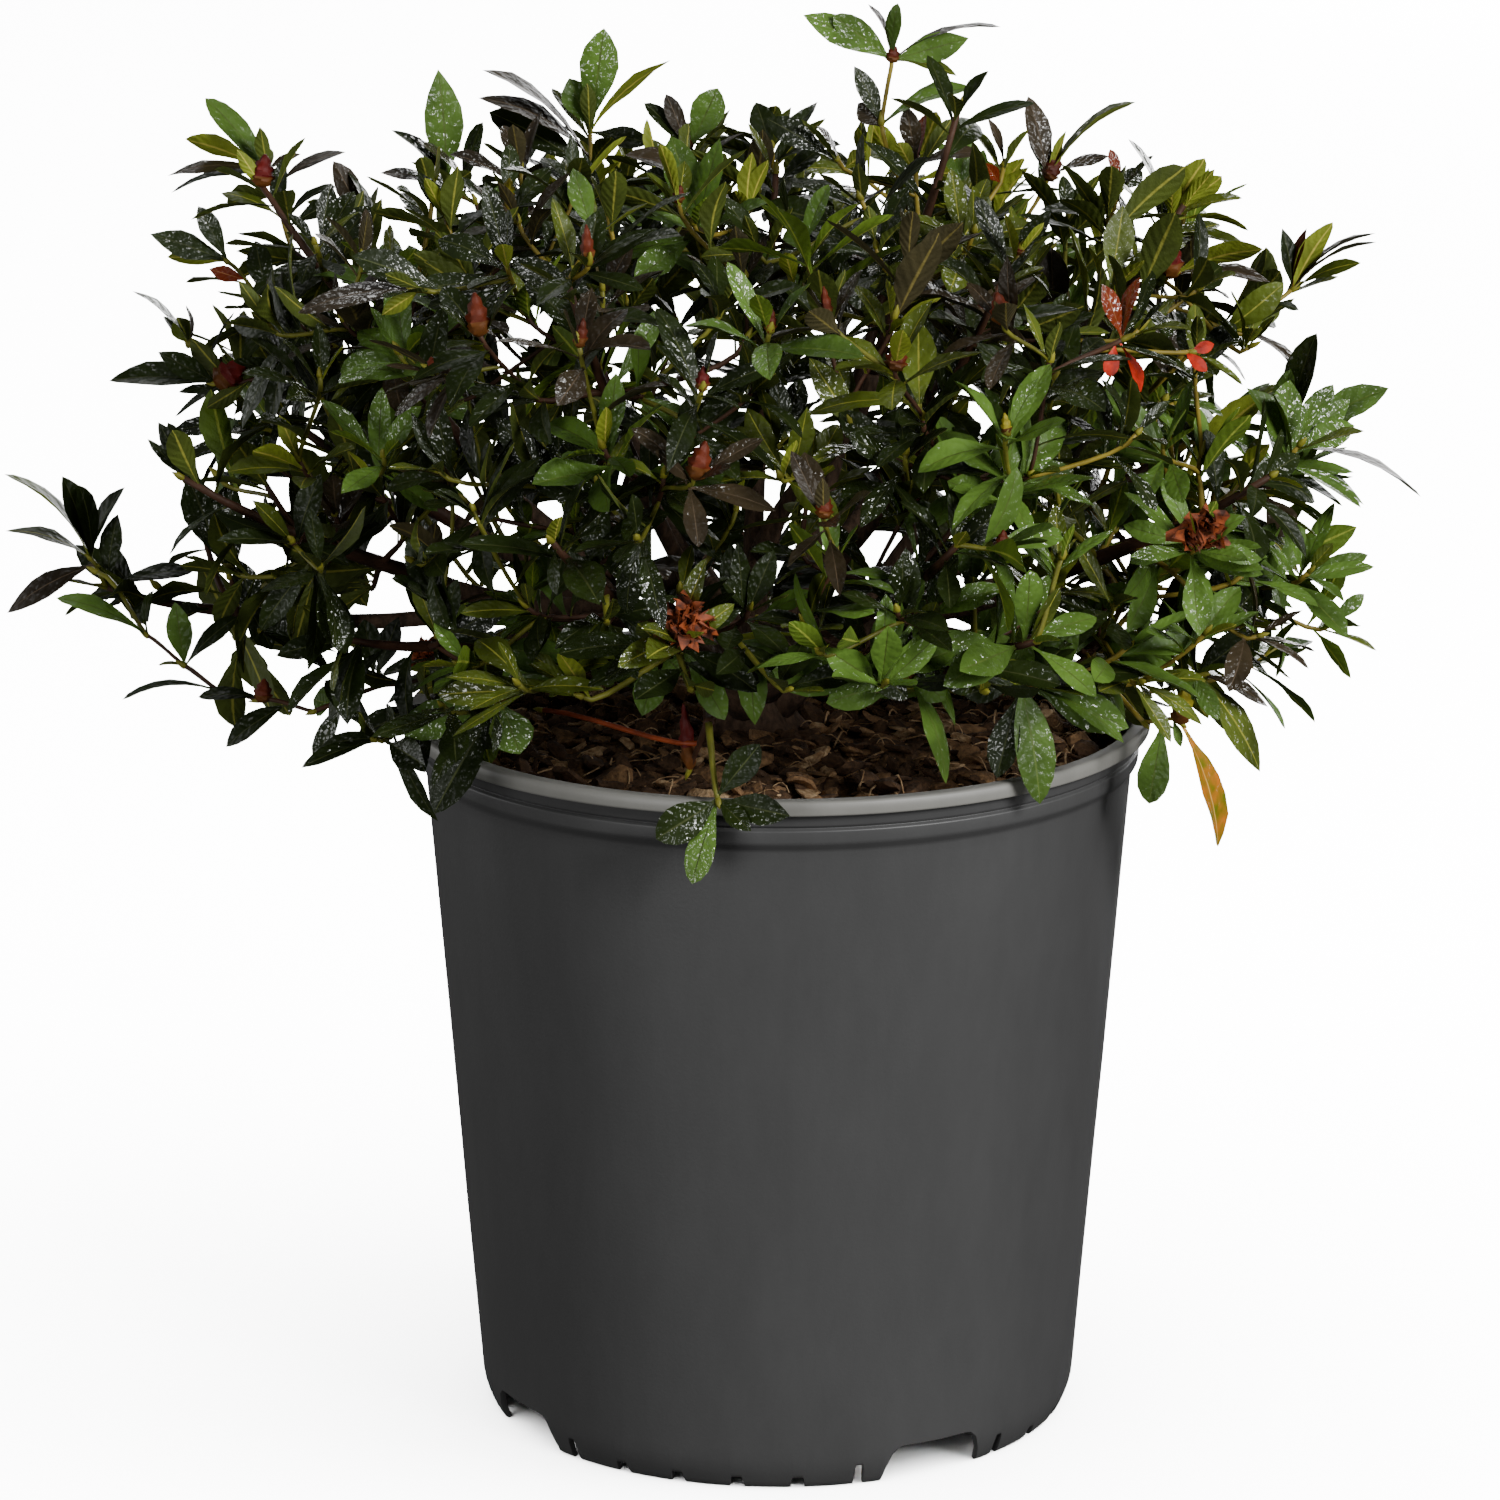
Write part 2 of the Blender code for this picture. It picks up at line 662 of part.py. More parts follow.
def chance_points(mass, space, rng):
    """Chance points in the mass's own share of the dome's outer part, within its reach."""
    points = []
    for _ in range(CHANCE_POINTS):
        way = Vector((rng.gauss(0, 1), rng.gauss(0, 1), rng.gauss(0, 1))).normalized()
        point = space.heart + way * mass.reach * 0.75 * rng.random() ** 0.4
        ahead = (point - mass.foot).length / (mass.reach - LEAF_LENGTH * 0.6)
        inside = crown_share(point) < 1 - LEAF_LENGTH * 0.55 / CROWN_UP or mass.leaves_dome
        inside = inside and point.z > mass.foot.z - LOWEST_DROP
        if 0.3 < ahead < 1 and inside and crown_share(point) > CROWN_HOLLOW:
            if space.holds(point, SHOOT_INSET):
                points.append(point)
    return points


def spread_tips(mass, space, rng, taken):
    """Tips of the side twigs, spread evenly: each next one is the chance point that lies furthest
    from those before it, until they would crowd."""
    chosen, tips = list(taken), []
    points = chance_points(mass, space, rng)
    while points and len(chosen) < MOST_SHOOTS:
        room = {i: min((point - other).length for other in chosen) for i, point in enumerate(points)}
        best = max(room, key=room.get)
        if room[best] < SHOOT_SPACING:
            break
        chosen.append(points[best])
        tips.append(points[best])
    return tips


def rosette(path, space, rng, count):
    """The leaves of one shoot: spiralled round its end, the outer ones lying flatter."""
    tip, along = path[-1], (path[-1] - path[-2]).normalized()
    aside, other = across(along)
    first_turn = rng.uniform(0, 2 * math.pi)
    leaves = []
    for i in range(count):
        root = tip - along * (ROSETTE_STEP * (0.6 + i))
        for attempt in range(LEAF_TRIES):
            turn = first_turn + GOLDEN_ANGLE * i + 0.8 * attempt
            opening = math.radians(26 + 9 * i - 2 * attempt + rng.uniform(-6, 6))
            out = aside * math.cos(turn) + other * math.sin(turn)
            way = (along * math.cos(opening) + out * math.sin(opening)).normalized()
            face_up = (along - way * along.dot(way) + UP * 0.2).normalized()
            length = LEAF_LENGTH * rng.uniform(0.82, 1.06)
            corners = leaf_corners(root, way, face_up, length, LEAF_HALF_WIDTH * length / LEAF_LENGTH)
            if all(space.holds(spot, 2 * MM) for spot in leaf_spots(corners)[1:]):
                stalk_end = root.lerp(corners[1], STALK_SHARE)
                if space.claim(hull_of([stalk_end, *corners[1:]])):
                    leaves.append(hull_of(corners))
                    break
    return leaves


def twig_fits(path, space):
    """A twig's own root lies on its stem, so the test starts a little way out."""
    spots = [a.lerp(b, share) for a, b in zip(path, path[1:]) for share in (0.5, 1)]
    return all(space.holds(spot, TWIG_RADIUS) for spot in spots)


def keep_outer_shell(mesh):
    """Drops scraps and sealed hollows: only the shell with the most vertices stays."""
    bm = bmesh.new()
    bm.from_mesh(mesh)
    left, shells = set(bm.verts), []
    while left:
        shell, edge_of = set(), [left.pop()]
        while edge_of:
            vert = edge_of.pop()
            shell.add(vert)
            for edge in vert.link_edges:
                other = edge.other_vert(vert)
                if other in left:
                    left.remove(other)
                    edge_of.append(other)
        shells.append(shell)
    largest = max(shells, key=len)
    bmesh.ops.delete(bm, geom=[v for v in bm.verts if v not in largest], context="VERTS")
    bm.to_mesh(mesh)
    bm.free()


def fuse(name, pieces, material):
    """One Boolean union of the stem with its twigs, leaves and buds."""
    whole = add_object(name, pieces[0], material)
    group = bpy.data.collections.new(name + "_pieces")
    bpy.context.scene.collection.children.link(group)
    for i, piece in enumerate(pieces[1:]):
        part = add_object(f"{name}_piece_{i}", piece, material)
        bpy.context.scene.collection.objects.unlink(part)
        group.objects.link(part)
    union = whole.modifiers.new("union", "BOOLEAN")
    union.operation = "UNION"
    union.operand_type = "COLLECTION"
    union.solver = "EXACT"
    union.collection = group
    graph = bpy.context.evaluated_depsgraph_get()
    joined = bpy.data.meshes.new_from_object(whole.evaluated_get(graph))
    whole.modifiers.remove(union)
    whole.data = joined
    for part in list(group.objects):
        bpy.data.objects.remove(part, do_unlink=True)
    bpy.data.collections.remove(group)
    keep_outer_shell(whole.data)


def shoots_of(mass, masses, boughs):
    """Paths of a mass's stem and of its twigs: to its leaders first, then to its spread tips."""
    rng = random.Random(mass.seed)
    space = Space(masses, mass, boughs)
    end = mass.foot + mass.direction * (mass.reach - LEAF_LENGTH) + UP * mass.reach * 0.05
    arriving = (mass.direction + UP * 0.25).normalized()
    path = curve_points(mass.foot, mass.direction, end, arriving, 3)
    radii = tapered(mass.radius, TWIG_TIP_RADIUS * 1.2, len(path))
    stem = Bough(mass.name, path, radii, None)
    shoots = []
    for leader in LEADERS:
        tip = Vector((leader.x, leader.y, leader.z))
        if min(masses, key=lambda other: (heart_of(other) - tip).length) is mass:
            shoots.append((tip, heading(leader.azimuth_deg, leader.rise_deg)))
    taken = [end] + [tip for tip, _ in shoots]
    for tip in spread_tips(mass, space, rng, taken):
        outward = (tip - mass.foot).normalized()
        shoots.append((tip, (outward * 0.5 + mass.direction * 0.5 + UP * 0.3).normalized()))
    twigs = [shoot_path(stem, tip, arriving, 2) for tip, arriving in shoots]
    return stem, [twig for twig in twigs if twig_fits(twig, space)], space, rng


def build_mass(mass, masses, boughs, leaf_material):
    """Grows one mass: its stem, its twigs, and a rosette on the end of each."""
    stem, twigs, space, rng = shoots_of(mass, masses, boughs)
    pieces = [tube(stem.points, stem.radii, 4)]
    space.claim(pieces[0].copy())
    pieces += rosette(stem.points, space, rng, LEAVES_PER_SHOOT + 1)
    for twig in twigs:
        wood = tube(twig, tapered(TWIG_RADIUS, TWIG_TIP_RADIUS, len(twig)), 3)
        space.claim(wood.copy())
        leaves = rosette(twig, space, rng, LEAVES_PER_SHOOT)
        if len(leaves) >= FEWEST_LEAVES:
            pieces += [wood, *leaves]
    if mass.direction.z > BUD_RISE:
        length, radius = BLOOM if mass.seed % BLOOM_EVERY == 0 else BUD
        along = (stem.points[-1] - stem.points[-2]).normalized()
        root = stem.points[-1] - along * 2 * MM
        pieces.append(hull_of(bud_corners(root, along, length, radius)))
    fuse(mass.name, pieces, leaf_material)


def main():
    clear_scene()
    bark = make_material("azalea_bark", (0.080, 0.045, 0.025), 0.8)
    leaf_material = make_material("azalea_leaf", (0.028, 0.060, 0.016), 0.35)
    build_pot()
    build_potting_mix()
    build_trunk(bark)
    boughs, masses = lay_out()
    for bough in boughs:
        sides = STEM_SIDES if bough.name.startswith("stem_") else BRANCH_SIDES
        shape = tube(bough.points, bough.radii, sides, toward=bough.toward)
        limb = add_object(bough.name, shape, bark)
        shade_round(limb)
    for mass in masses:
        build_mass(mass, masses, boughs, leaf_material)


main()
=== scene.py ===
"""The looks of a reblooming azalea in its nursery pot: moulded pot, potting mix, bark, leaves, buds.

The file is laid out as a Blender add-on and runs as a script. Lengths are metres and a name ending
in DEG is degrees. +X is to the right and +Y to the back of the plant, seen from its front. New
pieces are surfaces worked out with numpy, as whole arrays.
"""

import math
from collections import namedtuple
from functools import lru_cache, partial

import bpy
import numpy as np
from numpy.linalg import norm
from bpy.props import FloatProperty, FloatVectorProperty, IntProperty, PointerProperty
from mathutils.bvhtree import BVHTree
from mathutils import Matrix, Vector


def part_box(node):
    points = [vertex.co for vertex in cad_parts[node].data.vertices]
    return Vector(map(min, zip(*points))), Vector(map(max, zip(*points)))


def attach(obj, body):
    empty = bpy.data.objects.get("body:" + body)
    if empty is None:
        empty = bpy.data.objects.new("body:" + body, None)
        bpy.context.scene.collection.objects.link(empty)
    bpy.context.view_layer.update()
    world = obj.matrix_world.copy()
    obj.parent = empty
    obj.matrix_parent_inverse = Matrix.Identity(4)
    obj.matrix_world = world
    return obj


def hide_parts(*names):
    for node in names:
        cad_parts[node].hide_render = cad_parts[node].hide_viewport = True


bl_info = {
    "name": "Potted azalea",
    "version": (1, 0, 0),
    "blender": (4, 5, 0),
    "location": "3D View > Sidebar > Azalea",
    "description": "Dresses the solids of a potted azalea with its pot, mix, bark, leaves and buds",
    "category": "Add Mesh",
}

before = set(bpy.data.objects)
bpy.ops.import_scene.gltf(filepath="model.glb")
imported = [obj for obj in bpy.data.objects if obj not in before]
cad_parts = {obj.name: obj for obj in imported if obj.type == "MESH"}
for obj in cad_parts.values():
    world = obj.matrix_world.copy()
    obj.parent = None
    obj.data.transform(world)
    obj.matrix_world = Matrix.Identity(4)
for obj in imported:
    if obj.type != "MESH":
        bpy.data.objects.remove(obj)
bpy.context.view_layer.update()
_, POT_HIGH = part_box("pot")

MM = 0.001
CLEAR = 0.3 * MM
LIP_WIDTH = 5.2 * MM
MIX_LUMP = 1.6 * MM
UP = np.array((0.0, 0.0, 1.0))
FULL_TURN = 2 * math.pi
GOLDEN_ANGLE = math.pi * (3 - math.sqrt(5))
BODY = "root"


# Colour

def linear(hex_colour):
    """The linear red, green and blue of an sRGB hex colour."""
    parts = [int(hex_colour[i:i + 2], 16) / 255 for i in (1, 3, 5)]
    return tuple(c / 12.92 if c <= 0.04045 else ((c + 0.055) / 1.055) ** 2.4 for c in parts)


def colour_setting(name, description, hex_colour):
    return FloatVectorProperty(
        name=name, description=description, subtype="COLOR", size=3, min=0, max=1,
        default=linear(hex_colour),
    )


def length_setting(name, description, default):
    return FloatProperty(name=name, description=description, default=default, unit="LENGTH", min=0)


# What a user would change

class PotSettings(bpy.types.PropertyGroup):
    """Sizes and colour of the blow moulded nursery pot."""

    rim_radius: length_setting("Rim radius", "Outside of the rolled lip", POT_HIGH.x)
    height: length_setting("Height", "From the foot to the top of the lip", POT_HIGH.z)
    lip_width: length_setting("Lip width", "Flat top of the lip, from edge to edge", LIP_WIDTH)
    wall_unevenness: length_setting("Wall unevenness", "How far the thin wall wavers", 0.00018)
    colour: colour_setting("Plastic", "Black polyethylene, greyed by light scuffs", "#3f3f3f")
    # The lip's colour is a paler copy of the plastic: a painted highlight for the light that falls on the
    # lip's top.
    lip: colour_setting("Lip", "The same plastic, painted paler on the lip as its highlight", "#7c7b76")


class MixSettings(bpy.types.PropertyGroup):
    """The bark potting mix that fills the pot."""

    chips: IntProperty(name="Bark chips", description="Chips that lie on the mix", default=1250, min=0)
    fibres: IntProperty(name="Fibres", description="Loose wood fibres on the mix", default=260, min=0)
    lump: length_setting("Lumps", "Height of the mix's lumps", MIX_LUMP)
    dark: colour_setting("Dark bark", "Damp composted bark", "#4d3825")
    middle: colour_setting("Brown bark", "Half dry bark", "#8c6b49")
    pale: colour_setting("Pale bark", "Dry chips and fibres", "#d0b48c")


class WoodSettings(bpy.types.PropertyGroup):
    """Trunk, stems, boughs and twigs."""

    relief: length_setting("Bark relief", "Depth of the trunk's bark", 0.0007)
    bark: colour_setting("Bark", "Grey brown bark of trunk and stems", "#4c3a2c")
    brown_twig: colour_setting("Older twig", "Dark brown twigs", "#3f281a")
    red_twig: colour_setting("Red twig", "A bare twig low at the front", "#8f3f1f")
    green_twig: colour_setting("Young twig", "Yellow green shoots", "#6a6a24")
    # The golden colour is a yellower copy of the young twig colour, given to twigs on the lit right and on
    # top: painted light.
    sunlit_twig_painted_light: colour_setting("Golden twig", "Sunlit shoots at the right and on top", "#7d6e28")


class LeafSettings(bpy.types.PropertyGroup):
    """Size and colours of the leaves. Each shoot takes one of the colours for its spray."""

    length: length_setting("Leaf length", "A full grown leaf, stalk to tip", 0.0285)
    width: length_setting("Leaf width", "A full grown leaf at its widest", 0.0092)
    deep: colour_setting("Deep green", "Most of the leaves", "#1c260a")
    bright: colour_setting("Bright green", "Low and front leaves", "#4a6526")
    young: colour_setting("Young green", "New olive leaves", "#475219")
    bronze: colour_setting("Bronze", "Purple grey leaves near the top", "#30281b")
    russet: colour_setting("Russet", "Leaves that turn red", "#6a270d")
    fading: colour_setting("Fading", "Old leaves that turn orange", "#a05c12")


class BlossomSettings(bpy.types.PropertyGroup):
    """Flower buds, faded blooms and torn petals."""

    bud_length: length_setting("Bud length", "A small flower bud, foot to tip", 0.0075)
    bud_width: length_setting("Bud width", "A small flower bud", 0.0036)
    bud_foot: colour_setting("Bud foot", "Outer scales, brown and green", "#5e3612")
    bud_red: colour_setting("Red bud", "Dark red scales", "#560d09")
    bud_orange: colour_setting("Orange bud", "Orange red scales", "#571f08")
    bud_yellow: colour_setting("Yellow bud", "Yellow green scales", "#a09424")
    faded: colour_setting("Faded bloom", "Dried petals", "#7c370f")
    petal: colour_setting("Petal", "Fresh torn petals", "#b02204")


class StageSettings(bpy.types.PropertyGroup):
    """Floor, lights and camera."""

    floor: colour_setting("Floor", "Pale studio floor", "#f7f7f7")
    lens: FloatProperty(name="Lens", description="Focal length in millimetres", default=144.0, min=1)
    key_power: FloatProperty(name="Key light", description="Power in watts", default=84.0, unit="POWER")


# The pot's own shape, as the solids have it

LIP_DROP = 0.0045
COLLAR_RADIUS = 0.1117
COLLAR_DEPTH = 0.016
GROOVE_DROP = 0.009
GROOVE_DEPTH = 0.0009
WALL_TOP_RADIUS = 0.1092
WALL_FOOT_RADIUS = 0.0935
WALL_THICKNESS = 0.002
FOOT_ROUND = 0.009
FLOOR_UNDERSIDE = 0.008
FLOOR_TOP = 0.0102
PAD_RADIUS = 0.028
FOOT_BAND = 0.016
POT_HEIGHT = POT_HIGH.z
POT_COLUMNS = 160
WALL_ROWS = 15
EASE_STEPS = 4
POLE_RADIUS = 0.5 * MM

# The foot's gaps: four wide drain gaps, with six small ones between each two

DRAIN_FIRST_DEG = -59.0
DRAIN_WIDTH = 0.036
DRAIN_HEIGHT = 0.0115
SMALL_GAPS = 6
SMALL_GAP_FIRST_DEG = 15.8
SMALL_GAP_PITCH_DEG = 11.7
SMALL_GAP_WIDTH = 0.0044
SMALL_GAP_HEIGHT = 0.0034
END_GAP_WIDTH = 0.0032
END_GAP_HEIGHT = 0.0068

# Mix and trunk

MIX_EDGE_HEIGHT = 0.2105
MIX_HEAP = 0.005
TRUNK_X = -0.008
TRUNK_HEIGHT = 0.024
TRUNK_FLARE_RADIUS = 0.0165
TRUNK_RADIUS = 0.0105
TRUNK_LEAN = 0.0008
LEVEL_PATCH_RADIUS = 0.026
TRUNK_FOOT = MIX_EDGE_HEIGHT + MIX_HEAP + CLEAR

# The plan of the plant: sectors, tiers, arms and leaders, as the solids have them

Sector = namedtuple("Sector", "name azimuth_deg vigour")
SECTORS = (
    Sector("right_back", 20, 1.00),
    Sector("back_right", 65, 0.96),
    Sector("back_left", 112, 0.96),
    Sector("left_back", 158, 1.04),
    Sector("left_front", 203, 1.10),
    Sector("front_left", 248, 0.95),
    Sector("front_right", 293, 0.93),
    Sector("right_front", 338, 1.02),
)
STEM_RADIUS = 0.0042
STEM_TIP_RADIUS = 0.0026
BRANCH_RADIUS = 0.0029
BRANCH_TIP_RADIUS = 0.0021
STEM_RISE_DEG = 48
STEM_LEVELS = (0.86, 0.62)
STEM_STEPS = 6
BRANCH_STEPS = 5

Tier = namedtuple("Tier", "spread height reach rise_deg")
SIDE_TIER = Tier(0.096, 0.272, 0.104, 28)
LOW_TIER = Tier(0.098, 0.243, 0.086, 4)
TOP_TIER = Tier(0.078, 0.304, 0.118, 56)
TOP_FIRST_DEG = 5
TOP_COUNT = 6
TOP_SHARE = 0.42
LOW_TURN_DEG = 11
LOW_SHARE = 0.5
FRONT_LOW_LIFT = 0.022
FRONT_LOW_CUT = 0.1
CENTRE_TIP = (80, 0.010, 0.300)
CENTRE_HEADING_DEG = (60, 80)
CENTRE_REACH = 0.112
CENTRE_LEAD_IN = 2 * MM

Arm = namedtuple("Arm", "name carrier share azimuth_deg spread height heading_deg rise_deg lift reach")
ARMS = (
    Arm("top_sprig", "centre", 0.55, -25, 0.040, 0.330, -10, 80, 0.9, 0.112),
    Arm("left_arm", "left_back", 0.55, 181, 0.150, 0.252, 182, 8, -0.1, 0.080),
    Arm("right_arm", "right_front", 0.60, 357, 0.108, 0.272, 357, 24, 0.1, 0.096),
    Arm("front_spill", "front_left", 0.36, 262, 0.090, 0.243, 268, -8, -0.3, 0.070),
)

CROWN_MIDDLE = np.array((TRUNK_X, 0, 0.290))
CROWN_TO_LEFT = 0.192
CROWN_TO_RIGHT = 0.196
CROWN_TO_BACK = 0.182
CROWN_TO_FRONT = 0.176
CROWN_UP = 0.128
CROWN_DOWN = 0.096
CROWN_SQUARENESS = 3.4
CROWN_HOLLOW = 0.58

# How finely the plant is grown here, within the same reach

SHOOT_SPACING = 0.0208
MOST_SHOOTS = 24
MOST_LOW_SHOOTS = 9
MOST_ARM_SHOOTS = {
    "foliage_top_sprig": 5, "foliage_left_arm": 2, "foliage_right_arm": 9, "foliage_front_spill": 6,
}
HIGHEST_SHARE = 0.86
HIGHEST_SHARE_ON_TOP = 0.79
CHANCE_POINTS = 700
SHOOT_INSET = 0.008
LOWEST_DROP = 0.024
HEART_SHARE = 0.36
SPACE_MARGIN = 0.4 * MM
LIMB_MARGIN = 0.6 * MM
POT_MARGIN = 1.5 * MM
TWIG_RADIUS = 1.2 * MM
TWIG_TIP_RADIUS = 0.75 * MM
TWIG_STEPS = 6
TWIG_BEND = 0.25
LEAST_TWIG = 0.006
FORK_TRIES = 5
ROSETTE_LEAVES = (5, 9)
OLDER_LEAVES = 3
FEWEST_LEAVES = 2
LEAFY_SHARE = 0.92
FALLEN_CHANCE = 0.25
LEAF_TRIES = 8
LEAF_REACH = 0.032
BUD_SHOOT_LEAVES = 6
SEED = 11

# The camera that took the photo, worked out from the pot's rim and foot ellipses. A pixel is given in
# its frame of 1500 by 1500 pixels.

CAMERA_SPOT = np.array((-0.0088, -1.801, 0.671))
CAMERA_PITCH_DEG = 14.41
PHOTO_PIXELS = 1500
PHOTO_FOCAL_PIXELS = 6000
SENSOR_MM = 36

METRES_PER_PIXEL = 0.311 * MM
NEAR_SIDE_SHARE = 0.88
SEEN_SLENDERNESS = 0.18
LEAST_FACING = 0.12

# Soil and rim show between these columns of the photo, and nothing hangs lower than this row there

SOIL_LEFT_PIXEL = 505
SOIL_RIGHT_PIXEL = 1110
SOIL_TOP_PIXEL = 700
BEFORE_SOIL_Y = 0.02

# Where the photo shows the sky through the crown: column, row and radius in pixels

SKY_GAPS = np.array((
    (260, 555, 14), (313, 444, 12), (314, 415, 9), (388, 556, 22), (388, 600, 20), (365, 637, 12),
    (422, 644, 13), (457, 567, 12), (448, 523, 12), (470, 491, 11), (400, 501, 9), (523, 328, 11),
    (511, 364, 13), (546, 512, 13), (506, 580, 11), (505, 527, 9), (666, 539, 17), (724, 351, 10),
    (680, 303, 9), (764, 497, 11), (783, 497, 8), (758, 535, 8), (878, 545, 13), (964, 364, 9),
    (974, 409, 9), (1118, 557, 8), (1172, 591, 14), (1125, 621, 8), (1162, 658, 9), (1210, 651, 10),
    (1192, 467, 8), (150, 500, 22), (140, 470, 18), (168, 480, 10), (150, 535, 12), (190, 508, 13),
    (235, 508, 12), (210, 465, 9), (278, 490, 12), (250, 488, 8), (100, 645, 22), (72, 630, 14),
    (215, 648, 14), (110, 690, 18), (180, 720, 18), (215, 722, 12), (350, 785, 16), (374, 765, 9),
    (320, 790, 14), (1252, 368, 18), (1277, 351, 13), (1294, 326, 14), (1313, 313, 12), (1234, 392, 9),
))

# Shoots that the photo shows apart from the rest. Each gives the limb whose mass bears it, or else
# the nearest mass does, its tip's pixel and depth, or None for the dome's near side, how far its
# leaves lean back, how many more leaves it has than those named, and the named ones: kind, pixels of
# stalk and tip, and the width seen, less than zero from below.

PhotoLeaf = namedtuple("PhotoLeaf", "kind x y tip_x tip_y width")
PhotoShoot = namedtuple("PhotoShoot", "carrier x y depth lean fill leaves")
KINDS = ("deep", "bright", "young", "bronze", "russet", "fading")
deep, bright, young, bronze, russet, fading = (partial(PhotoLeaf, kind) for kind in KINDS)
torn = partial(PhotoLeaf, "petal")


def shoot(carrier, x, y, depth, lean, fill, *leaves):
    return PhotoShoot(carrier, x, y, depth, lean, fill, leaves)


